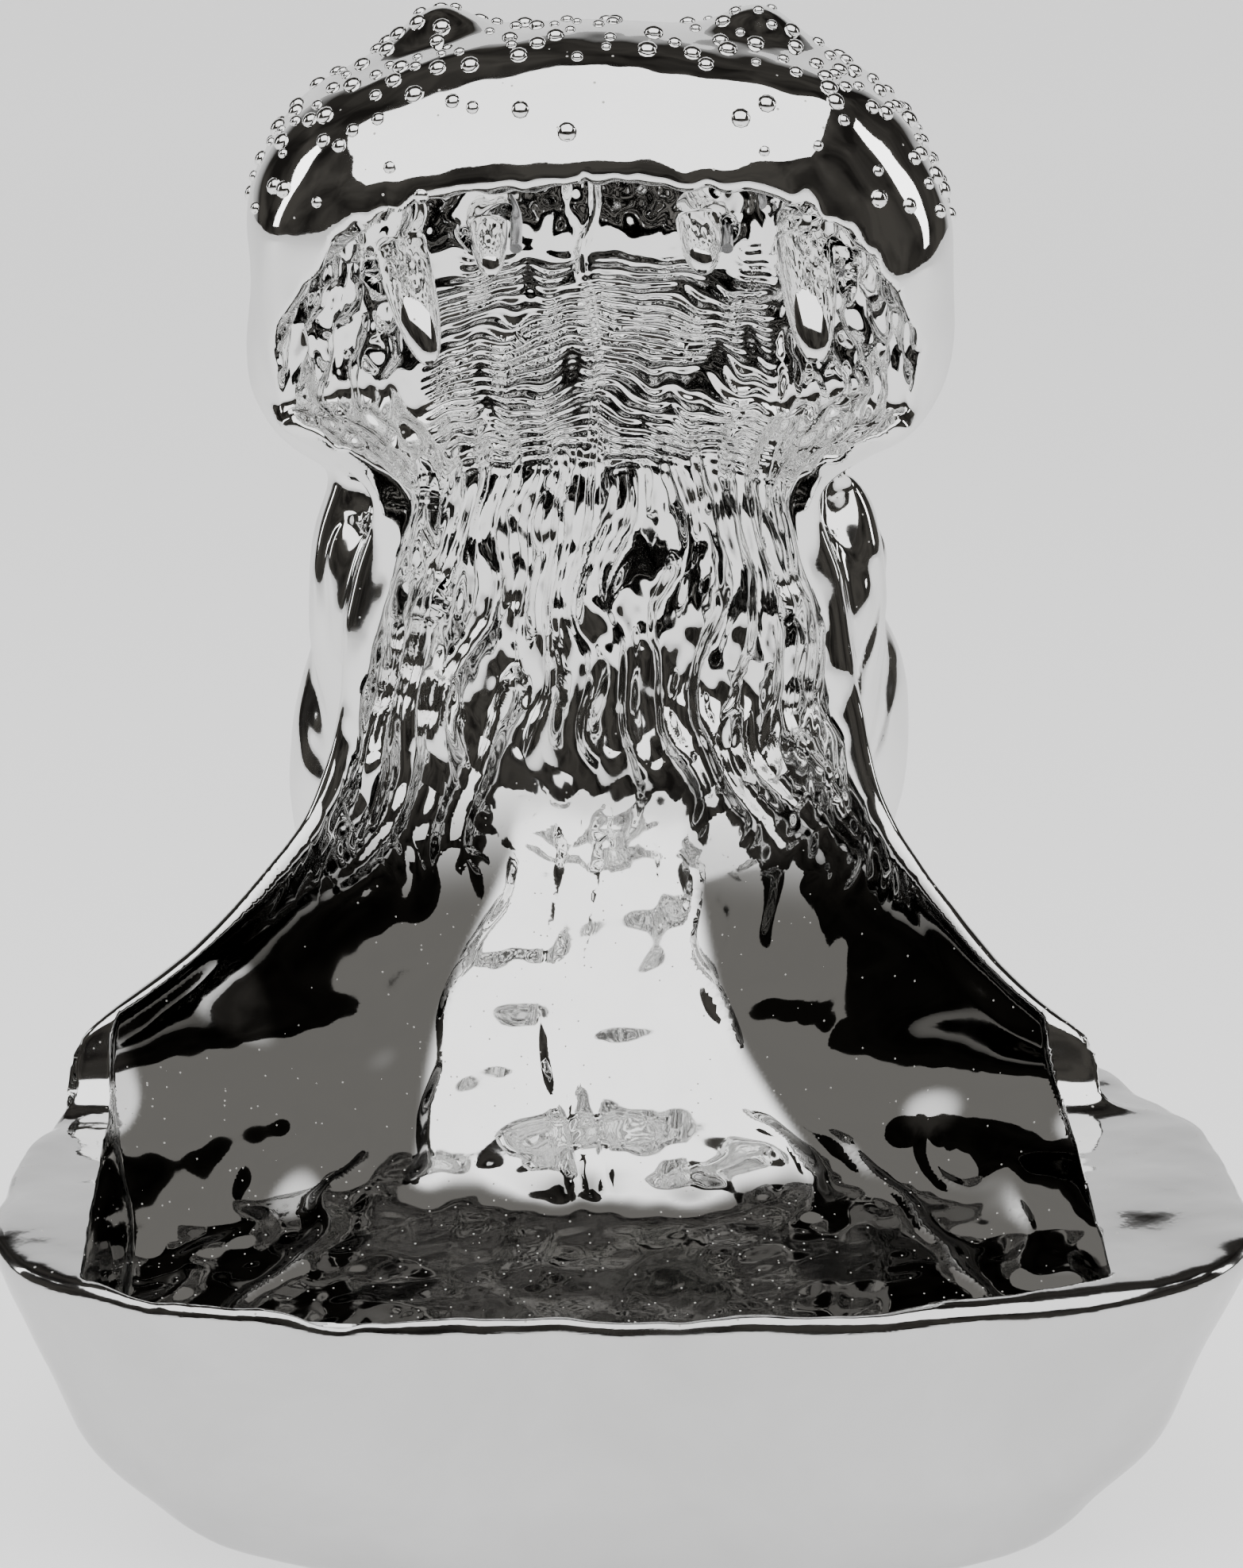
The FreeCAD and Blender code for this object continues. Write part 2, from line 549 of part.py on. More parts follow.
def main():
    """Builds every node."""
    os.makedirs("parts", exist_ok=True)
    hull = jaw_hull(0.0)
    neck = neck_bulk(0.0)
    neck_core = neck_bulk(SKIN_WALL)
    muzzle = muzzle_body(0.0)
    space = mouth_space(0.0)
    around = mouth_space(SKIN_WALL)
    ahead = ahead_of_cheeks()
    palate_zone = slab(THROAT_HEIGHT, FAR)

    # lower jaw: a bowl with a hollow heel that empties into the neck
    hollow = jaw_hull(JAW_WALL).cut(mouth_space(JAW_WALL)).cut(above_rim(JAW_WALL))
    jaw = hull.cut(above_rim(0.0)).cut(space).cut(largest(hollow))
    jaw = jaw.cut(rod(Vector(0.0, 20.0, 0.5 * FLOOR_Z + 20.0), Vector(0, 1, 0), FAR, 15.0))
    for pocket in feet(CLEARANCE):
        jaw = jaw.cut(pocket)
    write("lower_jaw_bowl", [largest(jaw)])

    # mouth: cheeks and throat in one casting, the palate in another
    skin = around.cut(space).cut(ahead)
    liner = skin.common(above_rim(0.0)).cut(palate_zone)
    write("mouth_liner", [largest(liner)])
    write("tongue", [largest(tongue_body().common(space))])
    palate = largest(skin.common(palate_zone))
    sets = (("canine", CANINE_PLACE, CANINE_RADIUS, CANINE_LENGTH),
            ("incisor", INCISOR_PLACE, INCISOR_RADIUS, INCISOR_LENGTH))
    pins = []
    for name, place, radius, length in sets:
        for side, word in ((-1, "left"), (1, "right")):
            pin = tooth_pin(place, side)
            crown = tooth(place, side, radius, length)
            palate = palate.cut(crown).cut(pin)
            write("upper_%s_%s" % (name, word), [crown.cut(pin)])
            pins.append(pin)
    write("tooth_pins", pins)
    write("palate", [largest(palate)])

    # muzzle: hollow, with two nostrils
    shell = muzzle
    for side in (-1, 1):
        shell = shell.fuse(nostril(side, 1.0))
    shell = shell.cut(muzzle_body(SKIN_WALL))
    for side in (-1, 1):
        pit = nostril(side, 0.55)
        pit.translate(JAW_UP * 0.62 * NOSTRIL_SIZE[2] + JAW_AXIS * 0.2 * NOSTRIL_SIZE[1])
        shell = shell.cut(pit)
    shell = shell.cut(around).cut(space)
    write("muzzle_shell", [largest(shell)])

    # neck: two half shells with sockets for the ears and eyes and posts for the base screws
    shell = neck.cut(neck_core).cut(around).cut(muzzle).cut(hull.cut(above_rim(0.0)))
    shell = largest(shell.cut(ahead))
    up = Vector(0, 0, 1)
    for place in screw_places():
        post = rod(place + up * BASE_PLATE, up, BOSS_HEIGHT, BOSS_RADIUS).common(neck)
        shell = shell.fuse(post.cut(hull))
        shell = shell.cut(rod(place, up, BASE_PLATE + BOSS_HEIGHT - 4.0,
                              SCREW_RADIUS + SCREW_GAP))
    ears = [ear(side).cut(ear_pin(side)) for side in (-1, 1)]
    eyes = [eye(side) for side in (-1, 1)]
    for side, ball_of_eye in zip((-1, 1), eyes):
        shell = shell.cut(ear(side)).cut(ear_pin(side)).cut(ball_of_eye)
    left = half_space(Vector(0, 0, 0), Vector(-1, 0, 0))
    write("neck_shell_left", [largest(shell.common(left))])
    write("neck_shell_right", [largest(shell.cut(left))])
    for piece, ball_of_eye, word in zip(ears, eyes, ("left", "right")):
        write("ear_%s" % word, [largest(piece)])
        write("eye_%s" % word, [ball_of_eye])
    write("ear_pins", [ear_pin(side) for side in (-1, 1)])

    write("base_plate", [base_plate()])
    write("base_screws", screws())
    write("rubber_feet", feet(0.0))


if __name__ == "__main__":
    main()
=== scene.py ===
"""Mirror-plated hippopotamus head with a wide open mouth, whose lower jaw is a bowl.

The plated skin is one continuous modelled surface. It is worked out from smooth distance
fields of the head's parts, given its relief, and divided at the joins of the castings, so
that each casting is a piece of its own. Teeth, eyes, ears and whisker bumps are added to
it, and the fittings of the base keep their own meshes and get their finishes here.

The sculptor's sizes are in millimetres about the front of the neck, and they are turned
into metres in the frame's axes when a mesh is made.
"""
from __future__ import annotations

import logging
import math
from concurrent.futures import ThreadPoolExecutor
from dataclasses import dataclass, field
from enum import Enum
from typing import Callable, Iterable, Sequence

import bpy
import numpy as np
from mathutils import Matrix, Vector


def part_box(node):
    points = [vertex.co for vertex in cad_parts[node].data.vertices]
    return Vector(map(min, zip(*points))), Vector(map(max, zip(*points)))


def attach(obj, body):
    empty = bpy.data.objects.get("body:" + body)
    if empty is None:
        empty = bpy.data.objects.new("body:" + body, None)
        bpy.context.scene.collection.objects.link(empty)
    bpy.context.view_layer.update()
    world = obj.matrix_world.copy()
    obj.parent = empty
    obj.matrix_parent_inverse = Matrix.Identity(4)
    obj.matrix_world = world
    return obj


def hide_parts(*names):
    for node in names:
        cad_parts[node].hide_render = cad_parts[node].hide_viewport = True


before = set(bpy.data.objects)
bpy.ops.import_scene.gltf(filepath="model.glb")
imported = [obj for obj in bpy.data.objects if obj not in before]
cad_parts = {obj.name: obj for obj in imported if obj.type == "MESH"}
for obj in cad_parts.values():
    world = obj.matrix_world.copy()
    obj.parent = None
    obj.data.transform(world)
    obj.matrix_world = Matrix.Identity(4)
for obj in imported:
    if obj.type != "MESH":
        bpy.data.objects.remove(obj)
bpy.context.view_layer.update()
LOG = logging.getLogger("head_bowl")

MM = 0.001
NECK_BACK = 143.7          # back of the neck in the sculptor's axes
BODY = "root"
SEED = 11


class Node(Enum):
    """The castings that the continuous skin is divided into."""

    JAW = "lower_jaw_bowl"
    LINER = "mouth_liner"
    TONGUE = "tongue"
    PALATE = "palate"
    MUZZLE = "muzzle_shell"
    NECK_LEFT = "neck_shell_left"
    NECK_RIGHT = "neck_shell_right"


# ---- curves, blends and ripples ----------------------------------------------------------
class Curve:
    """A smooth curve through stations, level at both ends and flat past them."""

    def __init__(self, *stations: tuple[float, float]) -> None:
        """Solves for the curvature at each station.

        Args:
            stations: pairs of place and value, with rising places.
        """
        self.x = np.array([s[0] for s in stations], float)
        self.y = np.array([s[1] for s in stations], float)
        gap = np.diff(self.x)
        rise = np.diff(self.y) / gap
        count = len(self.x)
        matrix = np.zeros((count, count))
        right = np.zeros(count)
        matrix[0, :2] = (2.0 * gap[0], gap[0])
        matrix[-1, -2:] = (gap[-1], 2.0 * gap[-1])
        right[0] = 6.0 * rise[0]
        right[-1] = -6.0 * rise[-1]
        for i in range(1, count - 1):
            matrix[i, i - 1:i + 2] = (gap[i - 1], 2.0 * (gap[i - 1] + gap[i]), gap[i])
            right[i] = 6.0 * (rise[i] - rise[i - 1])
        self.bend = np.linalg.solve(matrix, right)

    def __call__(self, place: np.ndarray) -> np.ndarray:
        """The curve's value at each place.

        Args:
            place: places along the stations.

        Returns:
            The value at each.
        """
        place = np.clip(place, self.x[0], self.x[-1])
        i = np.clip(np.searchsorted(self.x, place) - 1, 0, len(self.x) - 2)
        gap = self.x[i + 1] - self.x[i]
        a = (self.x[i + 1] - place) / gap
        b = 1.0 - a
        return (a * self.y[i] + b * self.y[i + 1]
                + ((a ** 3 - a) * self.bend[i] + (b ** 3 - b) * self.bend[i + 1])
                * gap * gap / 6.0)


def step(low: float, high: float, value: np.ndarray) -> np.ndarray:
    """A smooth step from 0 at low to 1 at high."""
    t = np.clip((value - low) / (high - low), 0.0, 1.0)
    return t * t * t * (t * (6.0 * t - 15.0) + 10.0)


def bell(value: np.ndarray, width: float) -> np.ndarray:
    """A bell curve of height 1 about zero."""
    return np.exp(-(value / width) ** 2)


def join(a: np.ndarray, b: np.ndarray, radius: float) -> np.ndarray:
    """The union of two fields with a smooth fillet."""
    near = np.maximum(radius - np.abs(a - b), 0.0) / radius
    return np.minimum(a, b) - near ** 3 * (radius / 6.0)


def trim(a: np.ndarray, b: np.ndarray, radius: float) -> np.ndarray:
    """The part that two fields share, with a smooth edge."""
    return -join(-a, -b, radius)


def ring_field(x: np.ndarray, y: np.ndarray, half: np.ndarray, line: np.ndarray,
               front: np.ndarray, back: np.ndarray, front_power: float,
               back_power: float | np.ndarray) -> np.ndarray:
    """Distance to an egg-shaped outline, level by level.

    Args:
        x: places across.
        y: places from front to back.
        half: half-width at the widest line.
        line: where the widest line is.
        front: reach ahead of that line.
        back: reach behind it.
        front_power: 2 for a round front, more for a squarer one.
        back_power: the same for the back.

    Returns:
        The distance, negative inside.
    """
    dy = y - line
    ahead = step(10.0, -10.0, dy)
    reach = back + (front - back) * ahead
    power = back_power + (front_power - back_power) * ahead
    a = np.abs(x) / half + 1e-6
    b = np.abs(dy) / reach + 1e-6
    whole = (a ** power + b ** power) ** (1.0 / power)
    slope = whole ** (1.0 - power) * np.sqrt((a ** (power - 1.0) / half) ** 2
                                             + (b ** (power - 1.0) / reach) ** 2)
    return (whole - 1.0) / slope


def blob(x: np.ndarray, y: np.ndarray, z: np.ndarray, sizes: Sequence[float],
         power: float = 2.0) -> np.ndarray:
    """Distance to a rounded body about the origin, with half-sizes along its axes.

    Args:
        x, y, z: places from the middle of the body.
        sizes: its half-sizes.
        power: 2 for a round body, more for a squarer one.

    Returns:
        The distance, negative inside.
    """
    a, b, c = (np.abs(v) / s + 1e-6 for v, s in zip((x, y, z), sizes))
    whole = (a ** power + b ** power + c ** power) ** (1.0 / power)
    slope = whole ** (1.0 - power) * np.sqrt((a ** (power - 1.0) / sizes[0]) ** 2
                                             + (b ** (power - 1.0) / sizes[1]) ** 2
                                             + (c ** (power - 1.0) / sizes[2]) ** 2)
    return (whole - 1.0) / slope


class Ripple:
    """A seeded, smooth and irregular wave field in space."""

    def __init__(self, length: float, seed: int, stretch: Sequence[float] = (1, 1, 1),
                 waves: int = 14) -> None:
        """Draws the waves.

        Args:
            length: typical wavelength.
            seed: which field of its kind.
            stretch: how much longer the waves are along each axis.
            waves: how many are added.
        """
        draw = np.random.default_rng(SEED * 1000 + seed)
        way = draw.normal(size=(waves, 3))
        way /= np.linalg.norm(way, axis=1)[:, None]
        pitch = 2.0 * math.pi / (length * draw.uniform(0.65, 1.5, size=waves))
        self.way = way * pitch[:, None] / np.asarray(stretch, float)
        self.phase = draw.uniform(0.0, 2.0 * math.pi, size=waves)
        self.scale = math.sqrt(2.0 / waves)

    def __call__(self, p: np.ndarray) -> np.ndarray:
        """The field at each point, about -2 to 2.

        Args:
            p: points in the sculptor's axes.

        Returns:
            A height for each point.
        """
        total = np.zeros(len(p))
        for way, phase in zip(self.way, self.phase):
            total += np.sin(p @ way + phase)
        return total * self.scale


# ---- the head's fields -------------------------------------------------------------------
@dataclass(frozen=True)
class JawSizes:
    """The lower jaw bowl."""

    width: float = 300.0
    line: float = -100.0           # widest line
    front: float = 63.0
    back: float = 150.0
    wall: float = 7.0
    rim_height: float = 77.0
    rim_slope: float = math.tan(math.radians(4.3))
    front_power: float = 2.9       # 2 is a round front, more is squarer
    back_power: float = 2.0
    narrowing: float = 0.75        # how much of the side's draw the front takes too
    floor_clearance: float = 2.0
    under_fillet: float = 26.0
    lip_fillet: float = 11.0
    lip_thinning: float = 2.2

    @property
    def front_y(self) -> float:
        """Front of the bowl."""
        return self.line - self.front

    def rim(self, y: np.ndarray) -> np.ndarray:
        """Height of the rim."""
        return self.rim_height + self.rim_slope * (y - self.front_y)


class Head:
    """The whole head as one distance field, in the sculptor's axes and millimetres."""

    THROAT = 231.0
    PALATE_TOP = 315.0
    GAPE = math.radians(65.0)
    JAW_ORIGIN_Y = 25.0
    MUZZLE_ALONG = 61.0            # middle of the upper jaw, along it and above its line
    MUZZLE_ABOVE = 26.0
    NOSTRIL_SIDE = 38.5
    NECK_POWER = 2.35              # 2 is a round neck, more is squarer

    def __init__(self) -> None:
        """Sets the curves that the parts follow, by height unless said otherwise."""
        self.jaw = JawSizes()
        self.share = Curve((-2, 0.60), (6, 0.69), (16, 0.76), (28, 0.84), (46, 0.905),
                           (64, 0.955), (80, 1.0), (110, 1.03))
        self.mouth_half = Curve((20, 108), (40, 127), (62, 138), (80, 143), (92, 140),
                                (106, 118), (123, 94), (140, 78), (160, 66), (180, 59),
                                (200, 54.5), (220, 49), (234, 47), (247, 61), (256, 77),
                                (266, 82), (320, 82))
        self.mouth_line = Curve((56, -100), (70, -97), (80, -78), (90, -54), (104, -37),
                                (126, -20), (160, -10), (231, -7), (262, -24), (316, -34))
        self.mouth_deep = Curve((52, -28), (70, -17), (85, -3), (108, 19), (130, 37),
                                (160, 46), (190, 49), (215, 47), (240, 42), (275, 27),
                                (300, 16), (320, 8))
        self.mouth_corner = Curve((52, 3.1), (66, 2.5), (80, 1.6), (92, 1.25),
                                  (118, 1.2), (138, 1.45), (166, 2.0), (320, 2.0))
        self.cheek_edge = Curve((70, -58), (86, -42), (108, -32), (135, -13), (160, 1),
                                (190, 4), (231, 4), (262, -6))
        self.skin = Curve((80, 6.0), (130, 6.0), (200, 9.5), (240, 11.0))
        self.neck_half = Curve((0, 80), (30, 93), (58, 97), (88, 91), (125, 78), (150, 72.5),
                               (170, 72), (190, 70), (206, 65), (222, 59), (236, 57),
                               (262, 56), (290, 50))
        self.neck_front = Curve((0, -2), (84, -12), (190, 2), (300, 2))
        self.neck_back = Curve((0, 136), (28, 141), (58, 144), (100, 143), (130, 140),
                               (155, 135), (178, 124), (200, 110), (225, 93), (250, 78),
                               (278, 60), (305, 36))
        self.lean = Curve((55, 0.0), (86, 8.0), (104, 10.5), (125, 7.5), (155, 6.0),
                          (350, 5.5))

    # -- parts --
    def straight(self, x: np.ndarray, z: np.ndarray) -> np.ndarray:
        """Takes out the hand-made lean of the head to one side."""
        return x + self.lean(z)

    def along_jaw(self, y: np.ndarray, z: np.ndarray) -> tuple[np.ndarray, np.ndarray]:
        """Places along and above the upper jaw.

        Args:
            y, z: places in the sculptor's axes.

        Returns:
            Distance along the jaw from its hinge, and height above its line.
        """
        dy = y - self.JAW_ORIGIN_Y
        dz = z - self.THROAT
        c, s = math.cos(self.GAPE), math.sin(self.GAPE)
        return dz * s - dy * c, dz * c + dy * s

    def hull(self, x: np.ndarray, y: np.ndarray, z: np.ndarray) -> np.ndarray:
        """Outside of the lower jaw, below its rim.

        Args:
            x, y, z: places in the sculptor's axes.

        Returns:
            The distance, negative inside.
        """
        jaw = self.jaw
        share = self.share(z)
        narrow = 1.0 - jaw.narrowing * (1.0 - share)
        side = ring_field(x, y, 0.5 * jaw.width * share, jaw.line, jaw.front * narrow,
                          jaw.back * narrow, jaw.front_power, jaw.back_power)
        under = jaw.floor_clearance + 3.0 * bell(x, 34.0) * bell(y - jaw.line, 90.0)
        body = trim(side, under - z, jaw.under_fillet)
        return trim(body, z - jaw.rim(y) - 1.2, jaw.lip_fillet)

    def mouth(self, x: np.ndarray, y: np.ndarray, z: np.ndarray) -> np.ndarray:
        """The hollow of the bowl, mouth and palate.

        Args:
            x, y, z: places in the sculptor's axes.

        Returns:
            The distance, negative in the hollow.
        """
        jaw = self.jaw
        line = self.mouth_line(z)
        share = self.share(z - 4.0)
        front = line - jaw.front_y - jaw.narrowing * jaw.front * (1.0 - share) - jaw.wall
        space = ring_field(x, y, self.mouth_half(z), line, front,
                           self.mouth_deep(z) - line, jaw.front_power,
                           self.mouth_corner(z))
        drop = jaw.rim(y) - z
        space = space - jaw.lip_thinning * step(16.0, 2.0, drop) * step(-50.0, -70.0, y)
        roof = self.PALATE_TOP - 48.0 * (np.abs(x) / 82.0) ** 4.3
        space = trim(space, z - roof, 9.0)
        return trim(space, self.floor(y) - z, 34.0)

    def floor(self, y: np.ndarray) -> np.ndarray:
        """Height of the bowl's floor."""
        return 33.0 + 36.0 * step(-165.0, 20.0, y)

    def cheeks(self, x: np.ndarray, y: np.ndarray, z: np.ndarray) -> np.ndarray:
        """Outside of the cheeks and the throat.

        Args:
            x, y, z: places in the sculptor's axes.

        Returns:
            The distance, negative inside.
        """
        line = self.mouth_line(z)
        wall = self.skin(z)
        body = ring_field(x, y, self.mouth_half(z), line, 80.0, self.mouth_deep(z) - line,
                          self.jaw.front_power, self.mouth_corner(z)) - wall
        body = trim(body, self.cheek_edge(z) - y, 8.0)
        body = trim(body, z - 252.0, 10.0)
        return trim(body, self.jaw.rim(y) - 12.0 - z, 4.0)

    def neck(self, x: np.ndarray, y: np.ndarray, z: np.ndarray) -> np.ndarray:
        """Neck and skull.

        Args:
            x, y, z: places in the sculptor's axes.

        Returns:
            The distance, negative inside.
        """
        front = self.neck_front(z)
        back = self.neck_back(z)
        middle = front + 0.46 * (back - front)
        body = ring_field(x, y, self.neck_half(z), middle, middle - front, back - middle,
                          self.NECK_POWER, self.NECK_POWER)
        body = trim(body, self.jaw.floor_clearance - z, 14.0)
        return trim(body, z - 300.0, 24.0)

    def muzzle(self, x: np.ndarray, y: np.ndarray, z: np.ndarray) -> np.ndarray:
        """Upper jaw with its two lip lobes and the swellings of the nostrils.

        Args:
            x, y, z: places in the sculptor's axes.

        Returns:
            The distance, negative inside.
        """
        s, u = self.along_jaw(y, z)
        body = blob(x, s - self.MUZZLE_ALONG, u - self.MUZZLE_ABOVE, (84.0, 51.0, 31.0),
                    2.7)
        nose = blob(x, y - 8.0, z - 291.0 + 0.05 * y, (86.0, 42.0, 57.0), 2.4)
        body = join(body, nose, 16.0)
        for side, low in ((-1.0, 2.0), (1.0, -1.0)):
            lobe = blob(x - side * 61.0, s - 29.0 + low, u - 16.0, (25.5, 26.0, 23.0), 2.2)
            body = join(body, lobe, 22.0)
            mound = blob(x - side * self.NOSTRIL_SIDE, s - 97.0, u - 41.0,
                         (9.5, 17.0, 10.5))
            body = join(body, mound, 19.0)
        for side in (-1.0, 1.0):
            pit = blob(x - side * self.NOSTRIL_SIDE, s - 94.0, u - 57.0, (5.0, 9.0, 9.0))
            body = trim(body, -pit, 6.0)
        return body

    def features(self, x: np.ndarray, y: np.ndarray, z: np.ndarray) -> np.ndarray:
        """Jowl folds, brows and the roots of the ears.

        Args:
            x, y, z: places in the sculptor's axes.

        Returns:
            The distance, negative inside.
        """
        a = np.abs(x)
        sign = np.sign(x)
        fold = blob(a - 62.0, y - 30.0, z - 196.0 + 3.0 * sign, (12.0, 15.0, 40.0))
        lower = blob(a - 66.0, y - 44.0, z - 158.0 - 4.0 * sign, (14.0, 20.0, 38.0))
        brow = blob(a - 46.0, y - 86.0, z - 222.0, (17.0, 17.0, 19.0))
        return join(join(fold, lower, 4.0), brow, 6.0)

    def body(self, x: np.ndarray, y: np.ndarray, z: np.ndarray) -> np.ndarray:
        """The whole head, negative inside the metal.

        Args:
            x: places across, in the sculptor's axes.
            y: places from front to back.
            z: heights.

        Returns:
            The field's value at each place.
        """
        hx = self.straight(x, z)
        upper = join(self.cheeks(hx, y, z), self.neck(hx, y, z), 16.0)
        upper = join(upper, self.features(hx, y, z), 9.0)
        upper = join(upper, self.muzzle(hx, y, z), 15.0)
        whole = join(self.hull(x, y, z), upper, 10.0)
        return trim(whole, -self.mouth(hx, y, z), 7.0)


# ---- making the skin -------------------------------------------------------------------
@dataclass
class Skin:
    """A surface of quads, with its points in the sculptor's millimetres."""

    points: np.ndarray
    quads: np.ndarray

    def normals(self) -> np.ndarray:
        """Outward unit normals at the points, weighted by the faces' areas.

        Returns:
            A unit vector for each point.
        """
        a, b, c, d = (self.points[self.quads[:, k]] for k in range(4))
        cross = np.cross(c - a, d - b)
        total = np.zeros_like(self.points)
        for axis in range(3):
            for k in range(4):
                total[:, axis] += np.bincount(self.quads[:, k], cross[:, axis],
                                              len(self.points))
        return total / np.maximum(np.linalg.norm(total, axis=1), 1e-9)[:, None]

    def centres(self) -> np.ndarray:
        """Middle of each face."""
        return self.points[self.quads].mean(axis=1)


def net(values: np.ndarray, origin: np.ndarray, pitch: float) -> Skin:
    """Wraps a surface net round the zero level of a sampled field.

    Args:
        values: the field on a regular grid, negative inside.
        origin: the grid's first corner.
        pitch: the grid's spacing.

    Returns:
        The surface, with its faces pointing outwards.
    """
    inside = values < 0.0
    offsets = [(i, j, k) for i in (0, 1) for j in (0, 1) for k in (0, 1)]
    shape = [n - 1 for n in values.shape]
    count = np.zeros(shape, np.int8)
    for i, j, k in offsets:
        count += inside[i:i + shape[0], j:j + shape[1], k:k + shape[2]]
    mixed = (count > 0) & (count < 8)
    cells = np.argwhere(mixed)
    number = np.full(shape, -1, np.int64)
    number[mixed] = np.arange(len(cells))
    corner = np.stack([values[cells[:, 0] + i, cells[:, 1] + j, cells[:, 2] + k]
                       for i, j, k in offsets], axis=1)
    place = np.zeros((len(cells), 3))
    hits = np.zeros(len(cells))
    for a in range(8):
        for b in range(a + 1, 8):
            if sum(abs(p - q) for p, q in zip(offsets[a], offsets[b])) != 1:
                continue
            cross = (corner[:, a] < 0.0) != (corner[:, b] < 0.0)
            gap = np.where(cross, corner[:, a] - corner[:, b], 1.0)
            share = np.where(cross, corner[:, a] / gap, 0.0)
            start, end = np.array(offsets[a], float), np.array(offsets[b], float)
            place += cross[:, None] * (start + share[:, None] * (end - start))
            hits += cross
    points = origin + pitch * (cells + place / hits[:, None])
    quads = []
    for axis in range(3):
        one, two = (axis + 1) % 3, (axis + 2) % 3
        cut = [slice(1, -1)] * 3
        low, high = list(cut), list(cut)
        low[axis], high[axis] = slice(0, -1), slice(1, None)
        first, second = inside[tuple(low)], inside[tuple(high)]
        for flip, change in ((False, first & ~second), (True, ~first & second)):
            at = np.argwhere(change)
            at[:, one] += 1
            at[:, two] += 1
            around = []
            for da, db in ((-1, -1), (0, -1), (0, 0), (-1, 0)):
                cell = at.copy()
                cell[:, one] += da
                cell[:, two] += db
                around.append(number[cell[:, 0], cell[:, 1], cell[:, 2]])
            quad = np.stack(around, axis=1)
            quads.append(quad[:, ::-1] if flip else quad)
    return Skin(points, np.concatenate(quads))


def split_quads(skin: Skin, chosen: np.ndarray) -> tuple[Skin, np.ndarray]:
    """Divides the chosen faces in four and keeps the rest apart.

    Args:
        skin: the surface.
        chosen: which faces are divided.

    Returns:
        A surface of the divided faces, and which of its points lie on its border.
    """
    quads = skin.quads[chosen]
    used, local = np.unique(quads, return_inverse=True)
    quads = local.reshape(quads.shape)
    points = skin.points[used]
    sides = np.stack([quads, np.roll(quads, -1, axis=1)], axis=2)
    keys = np.sort(sides.reshape(-1, 2), axis=1)
    edges, index, uses = np.unique(keys, axis=0, return_inverse=True, return_counts=True)
    middle = len(points) + index.reshape(-1, 4)
    centre = len(points) + len(edges) + np.arange(len(quads))
    fresh = [points, points[edges].mean(axis=1), points[quads].mean(axis=1)]
    parts = [np.stack([quads[:, k], middle[:, k], centre, middle[:, k - 1]], axis=1)
             for k in range(4)]
    border = np.zeros(len(points) + len(edges) + len(quads), bool)
    border[len(points):len(points) + len(edges)] = uses == 1
    return Skin(np.concatenate(fresh), np.concatenate(parts)), border


def settle(field_of: Callable[..., np.ndarray], points: np.ndarray,
           rounds: int = 4) -> np.ndarray:
    """Moves points onto the zero level of a field.

    Args:
        field_of: the field.
        points: where the points start, near the surface.
        rounds: how many times each point is moved.

    Returns:
        The points on the surface.
    """
    def walk(part: np.ndarray) -> np.ndarray:
        """Moves one batch of points.

        Args:
            part: the batch.

        Returns:
            Where its points end.
        """
        for _ in range(rounds):
            slope = slope_of(field_of, part)
            square = np.maximum((slope ** 2).sum(axis=1), 0.05)
            move = np.clip(field_of(*part.T) / square, -2.0, 2.0)
            part = part - move[:, None] * slope
        return part

    return in_batches(walk, points)


def slope_of(field_of: Callable[..., np.ndarray], points: np.ndarray,
             reach: float = 0.3) -> np.ndarray:
    """Slope of a field at points, from samples a short reach away.

    Args:
        field_of: the field, given x, y and z.
        points: where it is wanted.
        reach: distance between the samples.

    Returns:
        The slope along x, y and z at each point.
    """
    return np.stack([field_of(*(points + reach * axis).T)
                     - field_of(*(points - reach * axis).T)
                     for axis in np.eye(3)], axis=1) / (2.0 * reach)


def in_batches(work: Callable[[np.ndarray], np.ndarray], points: np.ndarray,
               size: int = 8192) -> np.ndarray:
    """Works through many points in batches, several at a time, in a fixed order.

    Args:
        work: what is done to a batch.
        points: all the points.
        size: points in a batch.

    Returns:
        The results, in the order of the points.
    """
    batches = [points[k:k + size] for k in range(0, len(points), size)]
    with ThreadPoolExecutor(4) as pool:
        return np.concatenate(list(pool.map(work, batches)))


def sample(field_of: Callable[..., np.ndarray], low: np.ndarray, high: np.ndarray,
           pitch: float) -> np.ndarray:
    """Samples a field on a regular grid between two corners.

    Args:
        field_of: the field, given x, y and z.
        low: the lowest corner.
        high: the highest corner.
        pitch: distance between samples.

    Returns:
        The values, by place along x, y and z.
    """
    axes = [np.arange(a, b, pitch) for a, b in zip(low, high)]

    def slab(part: np.ndarray) -> np.ndarray:
        """Samples some of the grid's levels, along its first axis."""
        return field_of(part[:, None, None], axes[1][None, :, None], axes[2][None, None, :])

    return in_batches(slab, axes[0], 4)


